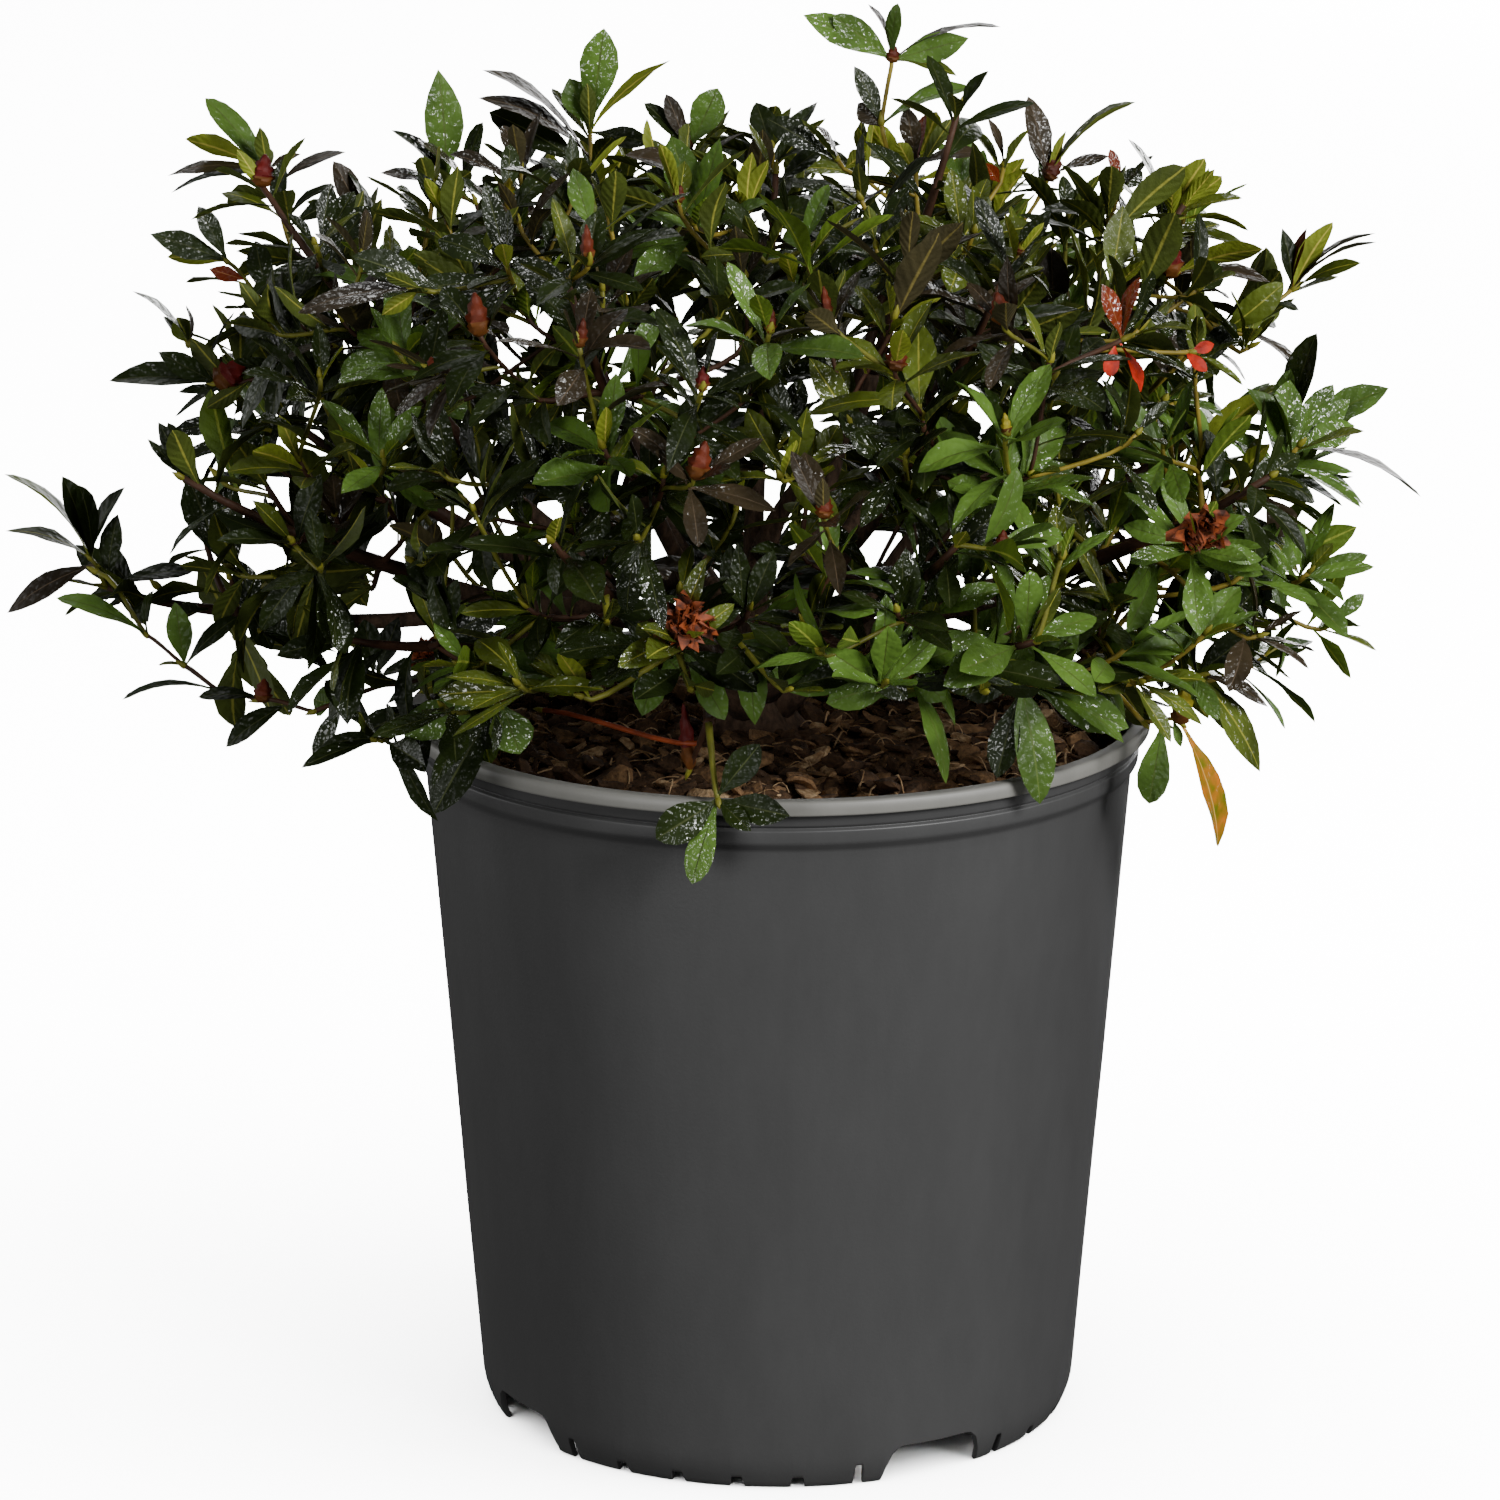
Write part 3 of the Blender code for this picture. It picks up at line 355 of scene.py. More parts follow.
PHOTO_SHOOTS = (
    # Long left arm: its upper twig and the lower twig that carries it on
    shoot("left_arm", 257, 630, -0.012, 0, 0, deep(262, 622, 240, 560, 30), deep(281, 633, 329, 670, 20),
          deep(262, 600, 301, 585, 26), deep(280, 610, 352, 622, 34)),
    shoot("left_arm", 230, 578, -0.014, 0, 0, deep(222, 568, 188, 477, 40), deep(234, 570, 233, 482, 32),
          deep(240, 580, 272, 650, 26)),
    shoot("left_arm", 306, 552, -0.012, 0, 1, deep(306, 548, 244, 512, 30), deep(300, 556, 276, 632, 34),
          bright(330, 530, 325, 593, 42), deep(300, 540, 290, 477, 22)),
    shoot("left_arm", 352, 640, -0.014, 0, 1, deep(352, 600, 302, 640, 34), deep(365, 668, 288, 634, 30)),
    shoot("left_arm", 159, 587, -0.010, 0, 0),
    shoot("left_arm", 91, 559, -0.010, 0, 0, young(64, 539, 4, 474, 10), deep(83, 552, 62, 476, 26),
          deep(89, 555, 79, 485, 19), young(80, 563, 5, 531, 10), deep(95, 547, 125, 487, 13),
          deep(150, 579, 118, 514, 22), bronze(88, 568, 7, 613, 24), deep(153, 580, 194, 571, 18),
          young(92, 565, 145, 625, 20)),
    shoot("low_left_front", 315, 711, -0.055, 0, 0, deep(367, 735, 316, 764, 20),
          bright(345, 737, 313, 700, 30)),
    shoot("low_left_front", 262, 700, -0.050, 0, 0, deep(292, 697, 226, 747, 20),
          deep(262, 673, 198, 697, 14)),
    shoot("low_left_front", 220, 691, -0.045, 0, 0, deep(198, 680, 122, 700, 5)),
    shoot("low_left_front", 185, 666, -0.040, 0, 0, bright(185, 660, 175, 602, 26),
          deep(190, 638, 238, 617, 16), young(182, 665, 158, 665, 4)),
    shoot("low_left_front", 148, 636, -0.030, 0, 0, bright(137, 633, 56, 598, 18),
          deep(145, 625, 152, 591, 6)),
    shoot("low_left_front", 97, 572, -0.016, 0, 0),
    shoot("low_left_front", 375, 681, -0.040, 0, 2, deep(375, 681, 364, 619, 28),
          deep(378, 678, 399, 617, 24)),
    # Top left
    shoot("", 264, 168, 0.040, 0.004, 3, bright(250, 168, 205, 98, 25), young(241, 172, 185, 139, -22),
          bronze(243, 188, 167, 176, 14), deep(246, 192, 171, 193, 10), bronze(284, 158, 301, 154, 8),
          bronze(294, 182, 346, 152, 12), deep(305, 230, 337, 199, 20), young(246, 230, 221, 193, 12)),
    shoot("", 228, 262, 0.010, 0, 1, deep(221, 244, 198, 206, 22), deep(218, 255, 150, 234, 26),
          young(218, 264, 167, 257, -16), russet(244, 299, 209, 269, 16)),
    shoot("", 190, 345, -0.005, 0, 1, deep(175, 315, 132, 291, 6), young(190, 345, 177, 317, 24),
          bronze(211, 316, 186, 305, 5)),
    shoot("", 218, 384, -0.020, 0, 3, deep(175, 386, 109, 381, 24), deep(190, 380, 158, 352, 24)),
    shoot("", 368, 235, 0.050, 0, 2, bronze(368, 232, 333, 161, 26), deep(384, 240, 348, 172, 10)),
    shoot("", 447, 187, 0.055, 0, 2, bright(466, 129, 438, 69, 40), bronze(447, 185, 380, 173, 14),
          deep(415, 171, 391, 130, 10), deep(431, 174, 436, 129, 26), deep(484, 150, 483, 122, 18)),
    shoot("", 476, 204, 0.050, 0, 1, bronze(460, 195, 416, 141, 8)),
    shoot("", 262, 300, 0.0, 0, 8),
    shoot("", 292, 250, 0.03, 0, 7),
    shoot("", 285, 372, -0.02, 0, 8),
    shoot("", 248, 425, -0.01, 0, 7),
    # Top middle
    shoot("", 590, 132, 0.060, 0, 2, bright(597, 117, 604, 28, 40), bright(578, 126, 569, 78, 33),
          young(606, 118, 671, 60, -16), bronze(565, 160, 482, 70, 10), bronze(565, 156, 478, 98, 14),
          deep(552, 166, 489, 112, 34), deep(592, 126, 652, 143, 22)),
    shoot("", 688, 152, 0.040, 0, 2, bright(689, 145, 718, 88, 35), bronze(685, 145, 666, 94, 20),
          deep(648, 139, 644, 103, 16), bronze(693, 171, 744, 133, 8), deep(640, 150, 677, 126, 6)),
    shoot("", 747, 219, 0.0, -0.004, 1, young(745, 217, 752, 152, -20), young(750, 217, 768, 160, -16),
          bronze(690, 200, 625, 155, 14)),
    shoot("", 838, 160, 0.010, 0, 2, deep(838, 157, 766, 118, 28), bronze(852, 145, 817, 126, 7),
          young(812, 196, 866, 151, -20)),
    # The sprig that stands alone
    shoot("top_sprig", 882, 124, 0.0, 0, 0, deep(880, 126, 854, 66, 20), bronze(871, 129, 858, 103, 24),
          bright(886, 98, 973, 88, 15)),
    shoot("top_sprig", 892, 60, 0.0, 0, 0, bright(872, 54, 803, 15, 30), bright(876, 50, 833, 15, 28),
          bronze(883, 38, 868, 4, 6), bright(891, 45, 898, 3, 15), bright(898, 55, 969, 38, 29),
          bronze(905, 51, 1001, 27, 7), young(900, 60, 957, 76, 12)),
    # Top right
    shoot("", 917, 165, 0.010, 0, 2, bronze(916, 161, 906, 105, 22), russet(922, 139, 926, 114, 12),
          young(898, 174, 898, 142, -18), bronze(930, 150, 982, 153, 12)),
    shoot("", 1004, 165, 0.010, 0, 2, bronze(1002, 150, 988, 118, 10), russet(1014, 185, 985, 163, 14)),
    shoot("", 1048, 178, 0.050, 0, 1, bronze(1048, 158, 1028, 96, 27), deep(1011, 158, 1032, 115, 22),
          young(1048, 182, 1136, 102, 9), bronze(1075, 166, 1109, 156, 12)),
    shoot("", 1120, 190, 0.030, 0, 1, russet(1120, 188, 1110, 149, 12), deep(1124, 190, 1141, 169, 20)),
    shoot("", 1163, 228, 0.010, -0.004, 1, deep(1163, 226, 1128, 139, 9), deep(1164, 205, 1170, 168, 16),
          young(1169, 227, 1205, 158, -26), young(1172, 230, 1222, 176, -22)),
    shoot("", 1171, 276, -0.010, -0.006, 0, young(1173, 276, 1263, 249, -20),
          bronze(1185, 272, 1270, 282, 13), bronze(1082, 246, 1143, 264, 38),
          bronze(1150, 302, 1167, 375, 32)),
    # Right side: the thick yellow stem and its shoot
    shoot("stem_right_back", 1184, 353, -0.020, 0, 0),
    shoot("stem_right_back", 1236, 330, 0.0, 0, 0, bronze(1240, 332, 1299, 370, 7),
          deep(1213, 356, 1246, 381, 4), deep(1180, 380, 1198, 409, 4)),
    shoot("stem_right_back", 1292, 290, 0.015, 0, 2, young(1295, 291, 1361, 263, 13),
          young(1300, 280, 1333, 222, -21), bronze(1330, 249, 1376, 233, 5),
          bronze(1325, 262, 1377, 242, 4), russet(1300, 262, 1307, 228, 12),
          deep(1284, 282, 1282, 228, 17), deep(1272, 311, 1299, 310, 7)),
    # Right arm
    shoot("right_arm", 1176, 500, -0.010, 0, 1, young(1204, 464, 1265, 394, -27)),
    shoot("right_arm", 1224, 486, -0.012, 0, 0, deep(1215, 541, 1247, 581, 18),
          bright(1241, 506, 1264, 619, 20), bright(1250, 510, 1283, 627, 24),
          young(1262, 530, 1300, 576, 14)),
    shoot("right_arm", 1264, 494, -0.006, 0, 0, bronze(1277, 500, 1293, 537, 32)),
    shoot("right_arm", 1290, 444, -0.010, 0, 1, deep(1299, 415, 1317, 333, 27),
          bright(1277, 453, 1291, 369, 22), bright(1299, 420, 1389, 388, 28),
          young(1288, 440, 1354, 415, 20), bronze(1288, 451, 1421, 497, 10),
          bright(1280, 474, 1364, 505, 15)),
    shoot("right_arm", 1164, 400, -0.030, 0, 1, young(1162, 396, 1223, 367, 14),
          bright(1164, 403, 1223, 416, 8)),
    # Lower right, over the rim
    shoot("low_right_front", 1143, 722, -0.060, 0, 0),
    shoot("low_right_front", 1180, 722, -0.062, 0, 0, bright(1164, 730, 1149, 804, 32),
          fading(1179, 727, 1218, 847, 29), bright(1172, 730, 1181, 747, 10)),
    shoot("low_right_front", 1197, 674, -0.050, 0, 1, bright(1227, 615, 1200, 560, 22),
          deep(1215, 633, 1202, 582, 18), deep(1215, 646, 1250, 634, 30), bronze(1243, 648, 1268, 707, 14),
          young(1200, 676, 1260, 772, 28), bright(1195, 700, 1219, 720, 20),
          young(1236, 640, 1246, 628, 10), bright(1228, 650, 1187, 700, 24)),
    # Low leaves that hang in front of the soil and over the rim
    shoot("low_left_front", 500, 700, -0.092, -0.004, 2, bright(495, 692, 397, 732, 38),
          deep(487, 706, 434, 814, 42), bright(510, 711, 520, 754, 42), deep(490, 690, 428, 668, 36),
          deep(505, 690, 560, 655, 34)),
    shoot("front_spill", 543, 710, -0.062, 0, 0),
    shoot("front_spill", 690, 768, -0.088, 0, 0),
    shoot("front_spill", 718, 800, -0.118, -0.006, 0, deep(703, 802, 656, 839, 37),
          deep(720, 802, 790, 816, 30), deep(718, 806, 751, 831, 20), bright(712, 808, 692, 884, 27),
          deep(722, 792, 760, 744, 30)),
    shoot("low_front_left", 657, 662, -0.100, -0.004, 1, bright(658, 668, 642, 716, 31),
          bright(655, 642, 683, 674, 38), deep(651, 653, 588, 662, 26), bright(697, 651, 725, 720, 28)),
    shoot("low_front_left", 757, 618, -0.104, -0.004, 1, bright(727, 640, 802, 684, 34),
          bronze(755, 610, 831, 679, 32), bright(768, 672, 755, 725, 28), bright(762, 601, 812, 592, 18)),
    shoot("low_front_right", 908, 676, -0.096, -0.004, 1, bright(923, 695, 946, 784, 20),
          bright(910, 667, 945, 700, 26), bright(929, 663, 1010, 637, 32), bright(905, 683, 826, 703, 32),
          bright(940, 700, 955, 726, 12), bright(921, 635, 914, 590, 19)),
    shoot("low_front_right", 1030, 686, -0.088, -0.006, 1, bright(1001, 706, 1040, 804, 38),
          deep(1000, 725, 997, 778, 32), bright(1038, 693, 1129, 728, 38),
          bright(1077, 730, 1124, 743, 16), deep(1016, 687, 964, 695, 26),
          young(1038, 676, 1001, 663, -24), bright(1044, 669, 1079, 624, 36),
          deep(1042, 676, 1146, 675, 22)),
    # Wet leaves that face the view
    shoot("", 420, 290, None, -0.004, 2, deep(453, 309, 352, 256, 30), bronze(393, 365, 298, 313, 22),
          young(400, 363, 382, 315, -16)),
    shoot("", 592, 232, None, 0, 2, bright(600, 228, 573, 168, 24)),
    # A russet leaf and torn petals
    shoot("", 1122, 340, None, 0, 2, russet(1122, 326, 1102, 284, 18), russet(1122, 342, 1140, 277, 12),
          torn(1119, 347, 1109, 377, 15), torn(1124, 350, 1141, 392, 14)),
    shoot("", 1190, 352, None, 0, 1, torn(1206, 358, 1214, 344, 12), torn(1186, 356, 1207, 371, 12)),
)
RED_TWIG_PIXEL = (543, 710)

# Flower buds and blooms that the photo shows: the pixels of foot and tip, the width in pixels, and 1
# where it grows on a shoot of its own or 0 on the shoot that ends nearest to its foot

Bud = namedtuple("Bud", "kind x y tip_x tip_y width own")
PHOTO_BUDS = [Bud(*row) for row in (
    ("orange", 890, 53, 893, 34, 13, 0), ("red", 268, 186, 273, 152, 22, 0),
    ("red", 212, 380, 244, 356, 27, 0), ("orange", 262, 668, 265, 643, 17, 0),
    ("orange", 577, 152, 582, 130, 11, 0), ("yellow", 477, 162, 481, 138, 13, 0),
    ("orange", 479, 334, 474, 288, 20, 1), ("orange", 432, 371, 431, 353, 12, 1),
    ("orange", 652, 208, 656, 189, 11, 0), ("orange", 588, 264, 586, 220, 12, 1),
    ("orange", 579, 345, 584, 314, 12, 1), ("orange", 770, 331, 773, 305, 10, 1),
    ("orange", 828, 318, 823, 282, 10, 1), ("orange", 811, 390, 802, 365, 9, 0),
    ("red", 702, 389, 704, 362, 12, 1), ("orange", 894, 368, 902, 340, 19, 1),
    ("orange", 695, 477, 707, 437, 20, 1), ("orange", 823, 516, 828, 491, 15, 1),
    ("orange", 898, 507, 914, 508, 9, 0), ("orange", 690, 595, 701, 586, 9, 0),
    ("yellow", 1007, 433, 1004, 409, 9, 1), ("yellow", 1081, 441, 1090, 421, 10, 0),
    ("orange", 1002, 546, 1004, 526, 11, 1), ("yellow", 911, 666, 923, 647, 11, 0),
    ("yellow", 1027, 697, 1027, 680, 10, 0), ("yellow", 506, 714, 505, 690, 13, 0),
    ("orange", 1071, 164, 1083, 144, 16, 0), ("red", 1163, 268, 1161, 224, 23, 0),
    ("orange", 998, 237, 999, 223, 10, 0), ("orange", 964, 318, 968, 298, 13, 0),
    ("red", 689, 766, 682, 697, 14, 0), ("yellow", 1185, 722, 1192, 681, 20, 0),
    ("bloom", 684, 642, 688, 606, 46, 1), ("bloom", 1196, 548, 1206, 518, 42, 1),
    ("orange", 1003, 322, 996, 288, 18, 1),
)]
HIDDEN_BUDS = 12
HIDDEN_BLOOMS = 3
HIDDEN_DEPTH = 0.03
HIDDEN_SHARE = 0.7
HIDDEN_BLOOM_HEIGHT = 0.33


# Directions and curves

def unit(vectors):
    return vectors / np.maximum(norm(vectors, axis=-1, keepdims=True), 1e-12)


def polar(azimuth_deg, spread, height):
    """The point at that azimuth and distance from the trunk's own axis."""
    turn = math.radians(azimuth_deg)
    return np.array((TRUNK_X + spread * math.cos(turn), spread * math.sin(turn), height))


def heading(azimuth_deg, rise_deg):
    """The unit direction of that azimuth and rise."""
    turn, rise = math.radians(azimuth_deg), math.radians(rise_deg)
    return np.array((math.cos(rise) * math.cos(turn), math.cos(rise) * math.sin(turn), math.sin(rise)))


def square_to(direction):
    """Two unit vectors square to a direction and to each other."""
    aside = np.cross(direction, UP)
    if norm(aside) < 0.05:
        aside = np.cross(direction, (1.0, 0.0, 0.0))
    aside = unit(aside)
    return aside, unit(np.cross(aside, direction))


def cubic(start, leaving, end, arriving, steps, bend=0.38):
    """Points along a cubic that leaves and arrives in the given directions, its handles being that
    share of its span."""
    span = norm(end - start) * bend
    second, third = start + leaving * span, end - arriving * span
    t = np.linspace(0, 1, steps + 1)[:, None]
    s = 1 - t
    return start * s**3 + second * 3 * s * s * t + third * 3 * s * t * t + end * t**3


def value_noise(points, cell, seed=0):
    """Smooth noise from -1 to 1: chance values on a lattice of that cell size, blended between the
    lattice's corners with an eased weight."""
    scaled = np.asarray(points) / cell
    corner = np.floor(scaled).astype(np.int64)
    part = scaled - corner
    part = part * part * (3 - 2 * part)
    total = np.zeros(scaled.shape[:-1])
    for step in np.ndindex(2, 2, 2):
        key = corner + step
        mixed = key[..., 0] * 374761393 + key[..., 1] * 668265263 + key[..., 2] * 1440662683 + seed * 97003
        mixed = (mixed ^ (mixed >> 13)) * 1274126177
        chance = ((mixed ^ (mixed >> 16)) & 0xFFFF) / 0x8000 - 1
        total += chance * np.prod(np.where(step, part, 1 - part), axis=-1)
    return total


# Meshes

def add_piece(name, points, groups, materials, uvs=None, sharp_deg=None):
    """One object from whole arrays. Groups are (faces, material index) pairs, each faces array holding
    polygons of one size. Its place is in its mesh."""
    mesh = bpy.data.meshes.new(name)
    mesh.from_pydata(points, (), [face for faces, _ in groups for face in faces.tolist()])
    slots = np.concatenate([np.broadcast_to(slot, len(faces)) for faces, slot in groups])
    mesh.polygons.foreach_set("material_index", slots.astype(np.int32))
    if uvs is not None:
        corners = np.concatenate([faces.ravel() for faces, _ in groups])
        layer = mesh.uv_layers.new(name="along_and_across")
        layer.data.foreach_set("uv", uvs[corners].astype(np.float32).ravel())
    mesh.shade_smooth()
    if sharp_deg:
        mesh.set_sharp_from_angle(angle=math.radians(sharp_deg))
    for material in materials:
        mesh.materials.append(material)
    obj = bpy.data.objects.new(name, mesh)
    bpy.context.scene.collection.objects.link(obj)
    return obj


def settle(obj, nodes=()):
    """The piece rides on the plant's one body and stands for its nodes."""
    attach(obj, BODY)
    if nodes:
        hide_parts(*nodes)
    return obj


def add_copies(name, points, shape, materials, uvs=None, sharp_deg=None):
    """One object from copies of one shape, each with its own points: (copies, points, 3). The shape's
    groups are (faces, slots) pairs, with slots for all, for each face or for each copy's faces."""
    copies, points_each = points.shape[:2]
    starts = (np.arange(copies) * points_each)[:, None, None]
    groups = []
    for faces, slots in shape:
        slots = np.broadcast_to(slots, (copies, len(faces))).ravel()
        groups.append(((faces[None] + starts).reshape(-1, faces.shape[1]), slots))
    return add_piece(name, points.reshape(-1, 3), groups, materials, uvs, sharp_deg)


def limb_faces(rings, sides):
    """Quads between the rings of one tube, and the triangles of the fans that close its ends."""
    k = np.arange(sides)
    n = (k + 1) % sides
    row = (np.arange(rings - 1) * sides)[:, None]
    quads = np.stack([row + k, row + n, row + sides + n, row + sides + k], axis=-1).reshape(-1, 4)
    foot, tip, last = rings * sides, rings * sides + 1, (rings - 1) * sides
    fans = np.concatenate([
        np.stack([np.full(sides, foot), n, k], axis=-1),
        np.stack([np.full(sides, tip), last + k, last + n], axis=-1),
    ])
    return quads, fans


def limb_surface(paths, radii, sides, facing=None, flat=1.0, relief=None):
    """Closed tubes along many paths at once. Paths are (tubes, rings, 3) and radii (tubes, rings). A
    ring's point is the path's point plus radius times (cosine of the turn times one way aside, and
    sine of the turn times the other way and the flatness). Relief is added to the radius, and a pole
    closes each end."""
    ahead = unit(np.gradient(paths, axis=1))
    if facing is None:
        whole = np.abs(unit(paths[:, -1] - paths[:, 0]))
        facing = np.eye(3)[np.argmin(whole, axis=1)]
    aside = unit(np.cross(ahead, facing[:, None, :]))
    other = np.cross(ahead, aside)
    turn = FULL_TURN * np.arange(sides) / sides
    wide = radii[:, :, None] + (0 if relief is None else relief)
    flat = np.reshape(flat, (-1, 1, 1)) if np.ndim(flat) else flat
    across = (wide * np.cos(turn))[..., None] * aside[:, :, None, :]
    upward = (wide * np.sin(turn) * flat)[..., None] * other[:, :, None, :]
    rings = (paths[:, :, None, :] + across + upward).reshape(len(paths), -1, 3)
    return np.concatenate([rings, paths[:, :1], paths[:, -1:]], axis=1)


def add_limbs(name, points, sides, materials, slots=0, sharp_deg=None):
    """One object from the points that limb_surface gave, with a material slot for each tube."""
    quads, fans = limb_faces(points.shape[1] // sides, sides)
    slots = np.reshape(slots, (-1, 1))
    return add_copies(name, points, [(quads, slots), (fans, slots)], materials, sharp_deg=sharp_deg)


# Blades: leaves and petals

# A blade's row of values: root, way and face, then length, half width, curl, fold, roll, wave, the
# wave's phase, twist, where it is widest and how blunt it is

ROOT, WAY, FACE, SHAPE = slice(0, 3), slice(3, 6), slice(6, 9), slice(9, 19)
BLADE_VALUES = 19
BLADE_ROWS = np.array((0, 0.09, 0.2, 0.34, 0.5, 0.66, 0.81, 0.93))
BLADE_COLUMNS = np.array((-1, -0.52, -0.05, 0.05, 0.52, 1))
STALK_SHARE = 0.07
STALK_WIDTH = 0.13


def blade_outline(along, widest, blunt):
    """Half width of a blade as a share of its greatest: a narrow stalk that widens to the share of
    the length named and comes to a point. It is a sine of a power of the length, to a power."""
    share = np.clip((along - STALK_SHARE) / (1 - STALK_SHARE), 0, 1)
    body = np.sin(math.pi * share ** (math.log(0.5) / np.log(widest)))
    return np.maximum(np.maximum(body, 0) ** blunt, STALK_WIDTH * (along < 0.5))


def blade_surface(blades, along, across, depth=None):
    """Points of many blades at shares along their length and across their width. The midrib is an
    arc that turns by the curl, the halves are folded up and their margins rolled down, the margin
    waves, and the whole twists about the midrib. Depth goes below the face."""
    length, half, curl, fold, roll, wave, phase, twist, widest, blunt = blades[:, SHAPE].T[..., None]
    curl = np.where(np.abs(curl) < 1e-3, 1e-3, curl)
    turned = curl * along
    way, face = blades[:, None, WAY], blades[:, None, FACE]
    aside = np.cross(way, face)
    normal = face * np.cos(turned)[..., None] + way * np.sin(turned)[..., None]
    tilt = (twist * along)[..., None]
    side = aside * np.cos(tilt) + normal * np.sin(tilt)
    lift = normal * np.cos(tilt) - aside * np.sin(tilt)
    width = half * blade_outline(along, widest, blunt)
    ripple = np.sin(along * 11 + phase + (across > 0) * 1.7)
    rise = width * (fold * np.abs(across) - roll * across**4 + wave * across**2 * ripple)
    midrib = (
        blades[:, None, ROOT]
        + way * (length * np.sin(turned) / curl)[..., None]
        - face * (length * (1 - np.cos(turned)) / curl)[..., None]
    )
    if depth is not None:
        rise = rise - depth
    return midrib + side * (width * across)[..., None] + lift * rise[..., None]


def blade_template():
    """Where a blade's points lie, and its faces. The upper face has a strip for the midrib, the lower
    face spans from each margin to a raised rib, and both share the margins and the tip."""
    rows, columns = len(BLADE_ROWS), len(BLADE_COLUMNS)
    along = np.concatenate([np.repeat(BLADE_ROWS, columns), [1.0], BLADE_ROWS])
    across = np.concatenate([np.tile(BLADE_COLUMNS, rows), [0.0], np.zeros(rows)])
    under = np.concatenate([np.zeros(rows * columns + 1), np.ones(rows)])
    tip, rib = rows * columns, rows * columns + 1 + np.arange(rows)
    grid = np.arange(rows * columns).reshape(rows, columns)
    low, high = grid[:-1], grid[1:]
    upper = np.stack([low[:, :-1], high[:, :-1], high[:, 1:], low[:, 1:]], axis=-1)
    is_rib = np.zeros(upper.shape[:2], int)
    is_rib[:, 2] = 1
    is_rib[0] = 1
    left = np.stack([low[:, 0], rib[:-1], rib[1:], high[:, 0]], axis=-1)
    right = np.stack([rib[:-1], low[:, -1], high[:, -1], rib[1:]], axis=-1)
    top = grid[-1]
    tips = np.stack([top[:-1], np.full(columns - 1, tip), top[1:]], axis=-1)
    under_tips = np.array([(top[0], rib[-1], tip), (rib[-1], top[-1], tip)])
    stalk_end = np.concatenate([grid[0], rib[:1]])[None]
    shape = [
        (upper.reshape(-1, 4), is_rib.ravel()),
        (np.concatenate([left, right]), 2),
        (tips, np.array((0, 0, 1, 0, 0))),
        (under_tips, 2),
        (stalk_end, 1),
    ]
    return along, across, under, shape


def add_blades(name, blades, materials, thickness):
    """Many leaves or petals as one object, each closed, with face, midrib and underside materials."""
    along, across, under, shape = blade_template()
    points = blade_surface(blades, along, across, under * thickness)
    uvs = np.tile(np.stack([along, across * 0.5 + 0.5], axis=-1), (len(blades), 1))
    return add_copies(name, points, shape, materials, uvs, sharp_deg=70)


# Materials

def add_node(tree, kind, settings=(), values=(), links=()):
    """Adds a node, sets its properties and its input values, and links its inputs to outputs."""
    node = tree.nodes.new(kind)
    for key, value in dict(settings).items():
        setattr(node, key, value)
    for key, value in dict(values).items():
        node.inputs[key].default_value = value
    for key, output in dict(links).items():
        tree.links.new(output, node.inputs[key])
    return node


def new_material(name, **values):
    """A material with a Principled shader whose even values are set on its own sockets."""
    material = bpy.data.materials.new(name)
    material.use_nodes = True
    shader = material.node_tree.nodes["Principled BSDF"]
    for key, value in values.items():
        shader.inputs[key.replace("_", " ")].default_value = value
    return material, material.node_tree, shader


def shade(colour, factor):
    """A colour made lighter or darker by a factor, with alpha."""
    return (*(min(1.0, channel * factor) for channel in colour), 1.0)


def noise_at(tree, place, size, detail=3.0, roughness=0.55, stretch=None):
    """Noise whose grains are of a real size in metres, read from object coordinates."""
    if stretch:
        place = add_node(tree, "ShaderNodeMapping", values={"Scale": stretch}, links={"Vector": place})
        place = place.outputs["Vector"]
    values = {"Scale": 1 / size, "Detail": detail, "Roughness": roughness}
    return add_node(tree, "ShaderNodeTexNoise", values=values, links={"Vector": place}).outputs[0]


def blend_colours(tree, factor, first, second, low=0.35, high=0.65):
    """A mix of two colours over a stretch of the factor."""
    spread = add_node(
        tree, "ShaderNodeMapRange", values={"From Min": low, "From Max": high}, links={"Value": factor}
    )
    mix = add_node(tree, "ShaderNodeMix", {"data_type": "RGBA"}, {6: first}, {0: spread.outputs[0]})
    if isinstance(second, bpy.types.NodeSocket):
        tree.links.new(second, mix.inputs[7])
    else:
        mix.inputs[7].default_value = second
    return mix.outputs[2]


def pressed(tree, shader, height, distance, strength=1.0, socket="Normal"):
    """Bump of a real depth in metres under the shader."""
    bump = add_node(
        tree, "ShaderNodeBump", values={"Strength": strength, "Distance": distance},
        links={"Height": height},
    )
    tree.links.new(bump.outputs["Normal"], shader.inputs[socket])


def polyethylene(name, colour):
    """Blow moulded black polyethylene: a dull soft sheen, a fine pebble from the mould, faint pale
    scuffs and dried splashes that grey it."""
    material, tree, shader = new_material(name, Roughness=0.46)
    place = add_node(tree, "ShaderNodeTexCoord").outputs["Object"]
    scuff = noise_at(tree, place, 0.030, detail=6, roughness=0.7, stretch=(1, 1, 0.35))
    colour_mix = blend_colours(tree, scuff, shade(colour, 0.94), shade(colour, 1.08), 0.38, 0.68)
    tree.links.new(colour_mix, shader.inputs["Base Color"])
    gloss = add_node(
        tree, "ShaderNodeMapRange", values={"To Min": 0.43, "To Max": 0.52}, links={"Value": scuff}
    )
    tree.links.new(gloss.outputs[0], shader.inputs["Roughness"])
    pressed(tree, shader, noise_at(tree, place, 0.0011, detail=2), 0.00005, 0.6)
    return material


